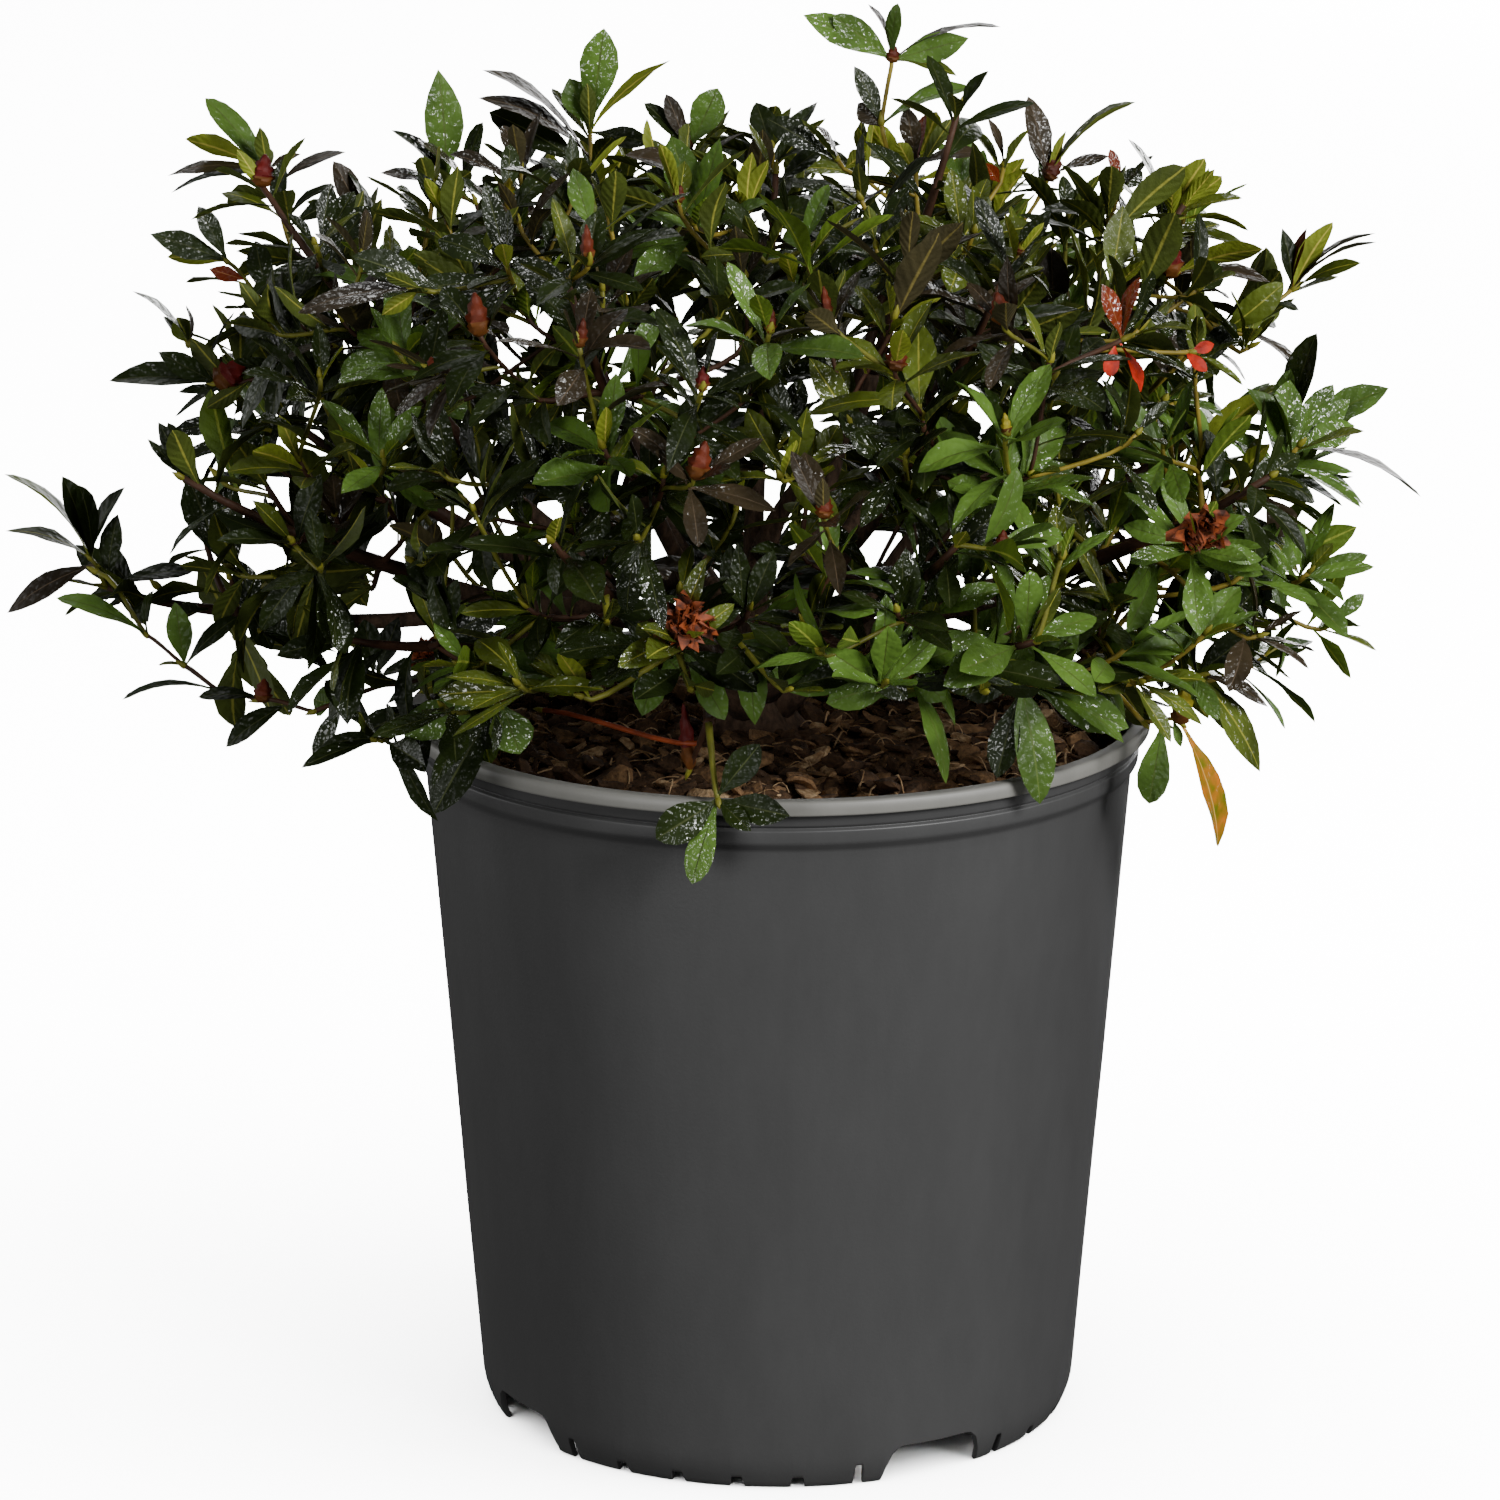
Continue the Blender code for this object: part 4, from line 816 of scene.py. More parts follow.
def grained(name, low, high, grain, pits, depth, band=(0.35, 0.65), **values):
    """A material whose colour goes from one to another over a band of its grain, and whose pits are
    pressed to a depth in metres. Grain and pits are what noise_at reads. With no pits the grain is."""
    material, tree, shader = new_material(name, **values)
    place = add_node(tree, "ShaderNodeTexCoord").outputs["Object"]
    tone = noise_at(tree, place, *grain)
    tree.links.new(blend_colours(tree, tone, low, high, *band), shader.inputs["Base Color"])
    pressed(tree, shader, noise_at(tree, place, *pits) if pits else tone, depth)
    return material


def bark_mix(name, dark, light, grain):
    """Composted pine bark: damp, dull and crumbly, dark with paler crumbs."""
    return grained(
        name, dark, light, (grain, 5, 0.65), (grain * 0.5, 4), grain * 0.35, (0.4, 0.72),
        Roughness=0.88, Specular_IOR_Level=0.3,
    )


def bark(name, colour, relief):
    """Azalea bark: dull grey brown, with long shallow cracks and flakes a few millimetres long."""
    return grained(
        name, shade(colour, 0.45), shade(colour, 1.35), (0.0022, 5, 0.6, (1, 1, 0.3)), None, relief,
        Roughness=0.82, Specular_IOR_Level=0.3,
    )


def young_wood(name, colour, roughness):
    """Bark of the year's shoots: thin, nearly smooth, a little waxy, with fine hairs that dull it."""
    return grained(
        name, shade(colour, 0.6), shade(colour, 1.25), (0.009, 3), (0.0008, 2), 0.0001,
        Roughness=roughness, Specular_IOR_Level=0.25,
    )


def petal(name, colour, dry):
    """A petal: thin and soft. A faded one is dry and papery, darkened in random patches to a fifth of its
    colour.
    """
    darker, roughness = (0.2, 0.7) if dry else (0.75, 0.45)
    return grained(
        name, shade(colour, darker), shade(colour, 1.5), (0.003, 4), None, 0.0004, Roughness=roughness
    )


VEINS = 46.0
VEIN_SLANT = -0.42


def vein_height(tree, coords, cobbles, share):
    """The relief of the side veins: waves that slant forwards from the midrib, added by that share to
    the cobbles between them. It gives the height, and the distance aside from the midrib."""
    apart = add_node(tree, "ShaderNodeSeparateXYZ", links={"Vector": coords.outputs["UV"]})
    centred = add_node(
        tree, "ShaderNodeMath", {"operation": "SUBTRACT"}, {1: 0.5}, {0: apart.outputs["Y"]}
    )
    aside = add_node(tree, "ShaderNodeMath", {"operation": "ABSOLUTE"}, links={0: centred.outputs[0]})
    slanted = add_node(
        tree, "ShaderNodeMath", {"operation": "MULTIPLY_ADD"}, {1: VEIN_SLANT},
        {0: aside.outputs[0], 2: apart.outputs["X"]},
    )
    vein_count = add_node(
        tree, "ShaderNodeMath", {"operation": "MULTIPLY"}, {1: VEINS}, {0: slanted.outputs[0]}
    )
    veins = add_node(tree, "ShaderNodeMath", {"operation": "SINE"}, links={0: vein_count.outputs[0]})
    height = add_node(
        tree, "ShaderNodeMath", {"operation": "MULTIPLY_ADD"}, {1: share},
        {0: veins.outputs[0], 2: cobbles},
    )
    return height.outputs[0], aside.outputs[0]


def leaf_face(name, colour, patches=None):
    """The upper face of an azalea leaf: a dark matt skin under a thin wet wax. The wax is cobbled
    between the veins, so that it breaks a light into small white sparks. A fading leaf has patches
    that are still green."""
    material, tree, shader = new_material(
        name, Roughness=0.45, Specular_IOR_Level=0.14, Coat_Roughness=0.08, Coat_IOR=1.8
    )
    coords = add_node(tree, "ShaderNodeTexCoord")
    place = coords.outputs["Object"]
    tone = noise_at(tree, place, 0.007 if patches else 0.022, detail=2)
    mixed = blend_colours(tree, tone, shade(patches or colour, 0.6), shade(colour, 1.45), 0.36, 0.64)
    tree.links.new(mixed, shader.inputs["Base Color"])
    wet = add_node(
        tree, "ShaderNodeMapRange",
        values={"From Min": 0.47, "From Max": 0.63, "To Min": 0.08, "To Max": 0.8},
        links={"Value": noise_at(tree, place, 0.045, detail=1)},
    )
    tree.links.new(wet.outputs[0], shader.inputs["Coat Weight"])
    height, _ = vein_height(tree, coords, noise_at(tree, place, 0.0027, detail=1.5), 0.05)
    pressed(tree, shader, height, 0.0005)
    pressed(tree, shader, height, 0.0019, socket="Coat Normal")
    return material


def leaf_back(name, colour, rib=None, patches=None):
    """The lower face: paler, matt and slightly hairy, with the midrib paler still where it shows and
    patches where a fading leaf is still green."""
    material, tree, shader = new_material(name, Roughness=0.62, Specular_IOR_Level=0.3)
    coords = add_node(tree, "ShaderNodeTexCoord")
    place = coords.outputs["Object"]
    tone = noise_at(tree, place, 0.012, detail=3)
    mixed = blend_colours(tree, tone, shade(patches or colour, 0.72), shade(colour, 1.2))
    height, aside = vein_height(tree, coords, noise_at(tree, place, 0.0009, detail=2), 0.3)
    if rib:
        mixed = blend_colours(tree, aside, shade(rib, 1.0), mixed, 0.02, 0.06)
    tree.links.new(mixed, shader.inputs["Base Color"])
    pressed(tree, shader, height, 0.0002)
    return material


# Limbs, laid out by the same rule as the solids

def on_path(path, share):
    """The point and the direction at a share of a path's steps."""
    place = share * (len(path) - 1)
    i = min(int(place), len(path) - 2)
    step = path[i + 1] - path[i]
    return path[i] + step * (place - i), unit(step)


class Limb:
    """One tapering limb along a cubic, with the same coarse stations as its solid."""

    def __init__(self, name, ends, radii, steps, carrier_radius):
        self.name, self.ends, self.radii, self.carrier_radius = name, ends, radii, carrier_radius
        self.stations = cubic(*ends, steps)

    def radius_at(self, share):
        return self.radii[0] + (self.radii[1] - self.radii[0]) * share

    def at_share(self, share):
        """The axis point, direction and radius at a share of the limb's stations."""
        return (*on_path(self.stations, share), self.radius_at(share))

    def spots(self):
        return [self.at_share(share) for share in np.linspace(0, 1, 4 * len(self.stations) - 3)]


Mass = namedtuple("Mass", "name foot direction reach radius leaves_dome")


def trunk_axis(height):
    """The trunk's centre at a height above its foot: it leans a little to the right."""
    return np.array((TRUNK_X + TRUNK_LEAN * height / TRUNK_HEIGHT, 0, TRUNK_FOOT + height))


def trunk_radius(height):
    """Root flare at the foot that runs out by half height, then a slight taper to the fork."""
    share = height / TRUNK_HEIGHT
    flare = (TRUNK_FLARE_RADIUS - TRUNK_RADIUS) * np.maximum(0, 1 - share / 0.5) ** 2
    return TRUNK_RADIUS * (1.04 - 0.08 * share) + flare


def seat(axis_point, axis_along, carrier_radius, leaving, radius):
    """Where a limb starts beside its carrier, so that the edge of its cap is a clearance away."""
    out = unit(leaving - axis_along * (leaving @ axis_along))
    tilt = math.sqrt(max(0.0, 1 - (leaving @ out) ** 2))
    return axis_point + out * (carrier_radius + CLEAR + radius * tilt)


def main_stem(index, sector, end, direction):
    """A sector's stem: a cubic to its end from beside the trunk, high and low by turns."""
    level = TRUNK_HEIGHT * STEM_LEVELS[index % 2]
    leaving = heading(sector.azimuth_deg, STEM_RISE_DEG)
    start = seat(trunk_axis(level), UP, trunk_radius(level), leaving, STEM_RADIUS)
    ends = (start, leaving, end, direction)
    return Limb("stem_" + sector.name, ends, (STEM_RADIUS, STEM_TIP_RADIUS), STEM_STEPS, TRUNK_RADIUS)


def side_branch(name, carrier, share, end, direction, lift):
    """A bough: a cubic from a share of its carrier to its end, that leaves towards it and lifted."""
    point, along, carrier_radius = carrier.at_share(share)
    leaving = unit(unit(end - point) + UP * lift)
    start = seat(point, along, carrier_radius, leaving, BRANCH_RADIUS)
    ends = (start, leaving, end, direction)
    return Limb("bough_" + name, ends, (BRANCH_RADIUS, BRANCH_TIP_RADIUS), BRANCH_STEPS, carrier_radius)


def mass_on(limb, reach, leaves_dome):
    """The mass whose stem carries on from a limb's tip, a clearance beyond it."""
    direction = unit(limb.stations[-1] - limb.stations[-2])
    name = "foliage_" + limb.name.split("_", 1)[1]
    return Mass(name, limb.stations[-1] + direction * CLEAR, direction, reach, limb.radii[1], leaves_dome)


def low_branch(sector, stem):
    """A sector's low bough and its mass's reach. To the front it hangs higher and reaches less."""
    azimuth_deg = sector.azimuth_deg + LOW_TURN_DEG
    frontward = max(0.0, -math.sin(math.radians(azimuth_deg)))
    end = polar(azimuth_deg, LOW_TIER.spread, LOW_TIER.height + FRONT_LOW_LIFT * frontward)
    direction = heading(azimuth_deg, LOW_TIER.rise_deg)
    limb = side_branch("low_" + sector.name, stem, LOW_SHARE, end, direction, -0.1)
    return limb, LOW_TIER.reach * (1 - FRONT_LOW_CUT * frontward)


def top_branch(azimuth_deg, stems):
    """A high bough on the stem that is nearest to its azimuth, and its mass's reach."""
    nearest = min(SECTORS, key=lambda sector: abs((sector.azimuth_deg - azimuth_deg + 180) % 360 - 180))
    end = polar(azimuth_deg, TOP_TIER.spread * nearest.vigour, TOP_TIER.height)
    direction = heading(azimuth_deg, TOP_TIER.rise_deg)
    limb = side_branch("top_" + nearest.name, stems[nearest.name], TOP_SHARE, end, direction, 0.5)
    return limb, TOP_TIER.reach * nearest.vigour


@lru_cache(maxsize=1)
def lay_out():
    """Every limb and mass, from the sectors, the tiers and the arms."""
    limbs, masses, stems = [], [], {}

    def add(limb, reach, leaves_dome=False):
        limbs.append(limb)
        masses.append(mass_on(limb, reach, leaves_dome))
        return limb

    for index, sector in enumerate(SECTORS):
        end = polar(sector.azimuth_deg, SIDE_TIER.spread * sector.vigour, SIDE_TIER.height)
        stem = main_stem(index, sector, end, heading(sector.azimuth_deg, SIDE_TIER.rise_deg))
        stems[sector.name] = add(stem, SIDE_TIER.reach * sector.vigour)
    for sector in SECTORS:
        if sector.name != "left_back":
            add(*low_branch(sector, stems[sector.name]))
    for i in range(TOP_COUNT):
        add(*top_branch(TOP_FIRST_DEG + 360 / TOP_COUNT * i, stems))
    ends = (trunk_axis(TRUNK_HEIGHT) + UP * CLEAR, UP, polar(*CENTRE_TIP), heading(*CENTRE_HEADING_DEG))
    centre = Limb("stem_centre", ends, (STEM_RADIUS, STEM_TIP_RADIUS), BRANCH_STEPS, CENTRE_LEAD_IN)
    stems["centre"] = add(centre, CENTRE_REACH)
    for arm in ARMS:
        end = polar(arm.azimuth_deg, arm.spread, arm.height)
        direction = heading(arm.heading_deg, arm.rise_deg)
        branch = side_branch(arm.name, stems[arm.carrier], arm.share, end, direction, arm.lift)
        add(branch, arm.reach, leaves_dome=True)
    return limbs, masses


# Room: where a twig or a leaf may be

def crown_shares(points):
    """How far out in the dome points are level and up: 0 at its middle and 1 at its surface."""
    out = points - CROWN_MIDDLE
    across = out[..., 0] / np.where(out[..., 0] > 0, CROWN_TO_RIGHT, CROWN_TO_LEFT)
    back = out[..., 1] / np.where(out[..., 1] > 0, CROWN_TO_BACK, CROWN_TO_FRONT)
    return np.hypot(across, back), out[..., 2] / np.where(out[..., 2] > 0, CROWN_UP, CROWN_DOWN)


def crown_share(points):
    """How far out in the dome points are, both ways together."""
    level, high = crown_shares(points)
    return (level**CROWN_SQUARENESS + np.abs(high)**CROWN_SQUARENESS) ** (1 / CROWN_SQUARENESS)


def mix_height(x, y, lump=MIX_LUMP):
    """Height of the potting mix: a low heap with bark lumps, level round the trunk."""
    edge = np.minimum(1, np.hypot(x, y) / (WALL_TOP_RADIUS - WALL_THICKNESS))
    heap = MIX_HEAP * (1 - edge**2)
    lumps = np.sin(x * 190 + 1.3) * np.cos(y * 170 - 0.4) + 0.6 * np.sin(x * 410 - y * 350)
    loose = MIX_EDGE_HEIGHT + heap + lump * lumps
    settled = np.clip((np.hypot(x - TRUNK_X, y) - LEVEL_PATCH_RADIUS) / 0.02, 0, 1)
    return loose * settled + (MIX_EDGE_HEIGHT + MIX_HEAP) * (1 - settled)


def in_pot_zone(points):
    """True where the pot, its rim or the potting mix is, or nearly."""
    radius = np.hypot(points[..., 0], points[..., 1])
    beside = (radius > POT_HIGH.x + POT_MARGIN) | (points[..., 2] > POT_HEIGHT + POT_MARGIN)
    in_lip = radius > POT_HIGH.x - LIP_WIDTH - POT_MARGIN
    in_mix = points[..., 2] < mix_height(points[..., 0], points[..., 1]) + POT_MARGIN
    return ~beside & (in_lip | in_mix)


def heart_of(mass):
    """The point of a mass from which its share of the room is measured."""
    return mass.foot + mass.direction * mass.reach * HEART_SHARE


def nearest_heart(hearts, tip):
    """The number of the mass whose heart is nearest to a tip."""
    return int(np.argmin(norm(hearts - tip, axis=1)))


def in_photo(points):
    """The photo's column and row at which points show."""
    pitch = math.radians(CAMERA_PITCH_DEG)
    away = points - CAMERA_SPOT
    ahead = away[..., 1] * math.cos(pitch) - away[..., 2] * math.sin(pitch)
    above = away[..., 1] * math.sin(pitch) + away[..., 2] * math.cos(pitch)
    half = PHOTO_PIXELS / 2
    return half + PHOTO_FOCAL_PIXELS * away[..., 0] / ahead, half - PHOTO_FOCAL_PIXELS * above / ahead


def before_soil(points):
    """True where a point would hide the soil and the front of the rim from the photo's view."""
    column, row = in_photo(points)
    between = (column > SOIL_LEFT_PIXEL) & (column < SOIL_RIGHT_PIXEL)
    return between & (row > SOIL_TOP_PIXEL) & (points[..., 1] < BEFORE_SOIL_Y)


def in_sky_gap(points):
    """True where a point would fill one of the gaps that the photo's view has through the crown."""
    column, row = in_photo(points)
    off = np.hypot(column[..., None] - SKY_GAPS[:, 0], row[..., None] - SKY_GAPS[:, 1])
    return (off < SKY_GAPS[:, 2]).any(axis=-1)


class Room:
    """The room of one mass: nearer to its own heart than to any other's, clear of limbs and pot, and
    not in front of the soil that shows."""

    def __init__(self, index, hearts, spots, girths):
        self.heart = hearts[index]
        others = np.delete(hearts, index, axis=0)
        self.middles = (others + self.heart) / 2
        self.aways = unit(others - self.heart)
        self.spots, self.girths = spots, girths

    def within(self, points):
        """Which points are on this mass's side of every wall."""
        beyond = np.einsum("...wk,wk->...w", points[..., None, :] - self.middles, self.aways)
        return (beyond < -SPACE_MARGIN).all(axis=-1)

    def clear(self, points, girth):
        """Which points are clear of limbs, pot and mix by that girth."""
        apart = norm(points[..., None, :] - self.spots, axis=-1)
        free = (apart > self.girths + girth + LIMB_MARGIN).all(axis=-1)
        return free & ~in_pot_zone(points) & ~before_soil(points)


class Blades:
    """The leaves that are there already, so that no new one crosses them."""

    GRID_ALONG = np.repeat((0.16, 0.4, 0.7, 1.0), 3)
    GRID_ACROSS = np.tile((-1, 0, 1), 4)
    FACES = [(3 * r + c, 3 * r + c + 1, 3 * r + c + 4, 3 * r + c + 3) for r in range(3) for c in range(2)]

    def __init__(self):
        self.rows, self.trees = [], []
        self.centres = np.zeros((0, 3))

    def grids(self, blades):
        return blade_surface(blades, self.GRID_ALONG, self.GRID_ACROSS)

    def claim(self, blade, grid, always=False):
        """Takes the room of a leaf, unless one that is there already crosses it."""
        tree = BVHTree.FromPolygons(grid.tolist(), self.FACES)
        centre = grid.mean(axis=0)
        near = np.flatnonzero(norm(self.centres - centre, axis=1) < LEAF_REACH * 1.1)
        if not always and any(tree.overlap(self.trees[i]) for i in near):
            return False
        self.centres = np.concatenate([self.centres, centre[None]])
        self.trees.append(tree)
        self.rows.append(blade)
        return True


# Growth: twigs and shoots

Shoot = namedtuple("Shoot", "tip arriving seen")
Twig = namedtuple("Twig", "path radii seen")


def ray_through(x, y):
    """The direction in which the camera sees a photo pixel."""
    pitch = math.radians(CAMERA_PITCH_DEG)
    right = (x - PHOTO_PIXELS / 2) / PHOTO_FOCAL_PIXELS
    above = (PHOTO_PIXELS / 2 - y) / PHOTO_FOCAL_PIXELS
    return np.array((
        right,
        math.cos(pitch) + above * math.sin(pitch),
        above * math.cos(pitch) - math.sin(pitch),
    ))


def spot_at_depth(x, y, depth):
    """Where the ray through a photo pixel is at a depth, which is a distance along Y."""
    ray = ray_through(x, y)
    return CAMERA_SPOT + ray * (depth - CAMERA_SPOT[1]) / ray[1]


def spot_on_crown(x, y, share):
    """Where the ray through a photo pixel first comes to that share of the dome, or passes nearest."""
    points = CAMERA_SPOT + ray_through(x, y) * np.linspace(1.5, 2.1, 601)[:, None]
    shares = crown_share(points)
    inside = np.flatnonzero(shares < share)
    return points[inside[0] if len(inside) else np.argmin(shares)]


def spot_of(seen):
    """The tip of a shoot that the photo shows: at its depth, or on the dome's near side."""
    if seen.depth is None:
        return spot_on_crown(seen.x, seen.y, NEAR_SIDE_SHARE)
    return spot_at_depth(seen.x, seen.y, seen.depth)


def seen_blade(leaf, root, lean, rng):
    """The row of a leaf that the photo shows, from its place on the twig to the pixel of its tip. The
    width seen, as a share of its own, tells how far it faces the view: its face is the way to the view
    times that share, plus the way aside times the square root of 1 less the share's square. Its
    midrib's arc bends the more the narrower it shows, and its chord ends at the tip."""
    chord = spot_at_depth(leaf.tip_x, leaf.tip_y, root[1] + lean + rng.normal(0, 0.0025)) - root
    span = norm(chord)
    chord = chord / span
    wide = abs(leaf.width) * METRES_PER_PIXEL
    half = max(SEEN_SLENDERNESS * span, wide / 2)
    share = min(1.0, max(LEAST_FACING, wide / 2 / half))
    to_view = unit(CAMERA_SPOT - root)
    aside = unit(np.cross(chord, to_view))
    aside = aside if aside[2] > 0 else -aside
    facing = unit(to_view - chord * (chord @ to_view)) * math.copysign(1, leaf.width)
    face = facing * share + aside * math.sqrt(1 - share * share)
    bend = (0.25 + 0.8 * (1 - share)) / 2
    row = np.zeros(BLADE_VALUES)
    row[ROOT] = root
    row[WAY] = chord * math.cos(bend) + face * math.sin(bend)
    row[FACE] = face * math.cos(bend) - chord * math.sin(bend)
    row[SHAPE] = (
        span * bend / math.sin(bend), half, 2 * bend, rng.uniform(0.1, 0.3), rng.uniform(0.03, 0.15),
        rng.uniform(0.02, 0.08), rng.uniform(0, FULL_TURN), rng.normal(0, 0.1), *outline_by_chance(rng),
    )
    return row


def outline_by_chance(rng):
    """Where a leaf is widest and how blunt it is: from lance shaped to broad and rounded."""
    return rng.uniform(0.52, 0.67), rng.uniform(0.62, 1.05)


def spread_tips(points, taken, spacing, most):
    """Points spread evenly: each next one lies furthest from those before it, until they crowd."""
    chosen = []
    room = norm(points[:, None] - taken[None], axis=-1).min(axis=1)
    while len(points) and len(chosen) < most:
        best = int(np.argmax(room))
        if room[best] < spacing:
            break
        chosen.append(points[best])
        room = np.minimum(room, norm(points - points[best], axis=1))
    return chosen


def chance_tips(mass, room, rng):
    """Chance points in the mass's own share of the dome's outer part, within its reach."""
    ways = unit(rng.normal(size=(CHANCE_POINTS, 3)))
    far = mass.reach * 0.8 * rng.random((CHANCE_POINTS, 1)) ** 0.4
    points = room.heart + ways * far
    ahead = norm(points - mass.foot, axis=1) / (mass.reach - LEAF_REACH * 0.55)
    shares = crown_share(points)
    level, high = crown_shares(points)
    on_top = np.clip(0.5 + 3 * (high - level), 0, 1)
    highest = HIGHEST_SHARE + (HIGHEST_SHARE_ON_TOP - HIGHEST_SHARE) * on_top
    keep = (ahead > 0.2) & (ahead < 1) & (shares > CROWN_HOLLOW)
    keep &= (shares < highest) | mass.leaves_dome & (on_top < 0.5)
    keep &= points[:, 2] > mass.foot[2] - LOWEST_DROP
    points = points[keep]
    return points[room.within(points) & room.clear(points, SHOOT_INSET) & ~in_sky_gap(points)]


def fork_for(twigs, tip):
    """The places on the wood so far from which a twig to that tip would leave, best first: near it,
    and pointing its way."""
    points = np.concatenate([twig.path[1:] for twig in twigs])
    aheads = np.concatenate([unit(np.diff(twig.path, axis=0)) for twig in twigs])
    radii = np.concatenate([twig.radii[1:] for twig in twigs])
    toward = tip - points
    far = norm(toward, axis=1)
    turning = 1 - (unit(toward) * aheads).sum(axis=1)
    cost = far * (1 + 1.1 * turning) + 0.05 * (far < LEAST_TWIG)
    return [(points[i], aheads[i], radii[i]) for i in np.argsort(cost)[:FORK_TRIES]]


def grow_twigs(mass, room, shoots):
    """The mass's stem and its twigs: each tip in turn, the nearest first, is joined to the wood that
    is there. A twig that would touch a limb or the pot is skipped, unless the photo shows it."""
    end = mass.foot + mass.direction * (mass.reach - LEAF_REACH) + UP * mass.reach * 0.05
    arriving = unit(mass.direction + UP * 0.25)
    path = cubic(mass.foot, mass.direction, end, arriving, TWIG_STEPS)
    radii = np.linspace(mass.radius, TWIG_TIP_RADIUS * 1.3, TWIG_STEPS + 1)
    twigs = [Twig(path, radii, None)]
    for tip, arriving, seen in sorted(shoots, key=lambda s: norm(s.tip - mass.foot)):
        for point, along, radius in fork_for(twigs, tip):
            leaving = unit(unit(tip - point) + along * 0.5)
            path = cubic(point, leaving, tip, arriving, TWIG_STEPS, TWIG_BEND)
            if seen or room.clear(path[2:], TWIG_RADIUS).all():
                first = min(TWIG_RADIUS, radius * 0.88)
                twigs.append(Twig(path, np.linspace(first, TWIG_TIP_RADIUS, TWIG_STEPS + 1), seen))
                break
    return twigs


def furthest_fork(twig, later):
    """The last station of a twig where one of the later twigs leaves it, or 0 where none does."""
    if not later:
        return 0
    roots = np.array([other.path[0] for other in later])
    meets = (np.abs(twig.path[:, None] - roots[None]).sum(axis=2) < MM).any(axis=1)
    return int(np.flatnonzero(meets).max(initial=0))


def cut_back(twig, last):
    """A twig that bears no leaves of its own, up to its last fork and no further."""
    before = np.arange(TWIG_STEPS + 1)
    after = np.linspace(0, last, TWIG_STEPS + 1)
    path = np.column_stack([np.interp(after, before, column) for column in twig.path.T])
    return Twig(path, np.interp(after, before, twig.radii), None)


def leaf_rows(root, along, turn, opening, length, half, rng):
    """Rows for one leaf. Its way is the shoot's times the cosine of the opening plus the way out at
    its turn times the sine, lifted a little. The first row is where it should grow, and the others
    are turned further round the shoot, for when that place is taken."""
    aside, other = square_to(along)
    tries = np.arange(LEAF_TRIES)
    turns = turn + 0.75 * tries
    openings = opening * (1 - 0.05 * tries)
    out = aside * np.cos(turns)[:, None] + other * np.sin(turns)[:, None]
    way = along * np.cos(openings)[:, None] + out * np.sin(openings)[:, None]
    way[:, 2] += 0.10
    way = unit(way)
    light = along * 0.62 + UP * 0.5 + rng.normal(0, 0.2, 3)
    face = unit(light - way * (way @ light)[:, None])
    blades = np.zeros((LEAF_TRIES, BLADE_VALUES))
    blades[:, ROOT], blades[:, WAY], blades[:, FACE] = root, way, face
    blades[:, SHAPE] = (
        length, half, opening * rng.uniform(0.1, 0.9), rng.uniform(0.16, 0.5),
        rng.uniform(0.05, 0.22), rng.uniform(0.03, 0.14), rng.uniform(0, FULL_TURN),
        rng.normal(0, 0.3), *outline_by_chance(rng),
    )
    return blades


def seen_leaves(twigs, blades, rng):
    """The leaves that the photo shows on a mass's twigs, each rooted where its own shoot's wood comes
    nearest to its stalk's pixel. Gives the number of each leaf's row and its colour."""
    found = []
    for twig in twigs:
        if not twig.seen:
            continue
        fine = np.concatenate([
            twig.path[:-1] + (twig.path[1:] - twig.path[:-1]) * share for share in (0, 0.33, 0.67, 1.0)
        ])
        for leaf in twig.seen.leaves:
            stalk = spot_at_depth(leaf.x, leaf.y, twig.path[-1][1])
            root = fine[np.argmin(norm(fine - stalk, axis=1))]
            row = seen_blade(leaf, root, twig.seen.lean, rng)
            blades.claim(row, blades.grids(row[None])[0], always=True)
            found.append((len(blades.rows) - 1, leaf.kind))
    return found


def rosette(twig, blades, room, rng, full_length, full_width):
    """The leaves of one shoot: a spiral close to its tip, opening flatter and growing larger with
    age, and a few older leaves further down. Each keeps clear of limbs, pot and other leaves."""
    whole = norm(np.diff(twig.path, axis=0), axis=1).sum()
    close = twig.seen.fill if twig.seen else int(rng.integers(*ROSETTE_LEAVES, endpoint=True))
    older = min(close, OLDER_LEAVES)
    first_turn = rng.uniform(0, FULL_TURN)
    size = rng.uniform(0.86, 1.1)
    back = 0.4 * MM
    grown = []
    for i in range(close + older):
        back += rng.uniform(1.0, 2.0) * MM if i < close else rng.uniform(5, 10) * MM
        if back > whole * LEAFY_SHARE or (i >= close and rng.random() < FALLEN_CHANCE):
            continue
        root, along = on_path(twig.path, 1 - back / whole)
        age = 1 - math.exp(-(i + 0.4) / 2.2)
        opening = math.radians(15 + 50 * age + rng.uniform(-12, 12))
        length = full_length * (0.5 + 0.5 * age) * rng.uniform(0.86, 1.12) * size
        half = full_width / 2 * (0.46 + 0.54 * age) * rng.uniform(0.72, 1.24) * size
        rows = leaf_rows(root, along, first_turn + GOLDEN_ANGLE * i, opening, length, half, rng)
        grids = blades.grids(rows)
        fits = room.clear(grids, 0.5 * MM).all(axis=1) & ~in_sky_gap(grids).any(axis=1)
        for row, grid in zip(rows[fits], grids[fits]):
            if blades.claim(row, grid):
                grown.append((len(blades.rows) - 1, i))
                break
    return grown
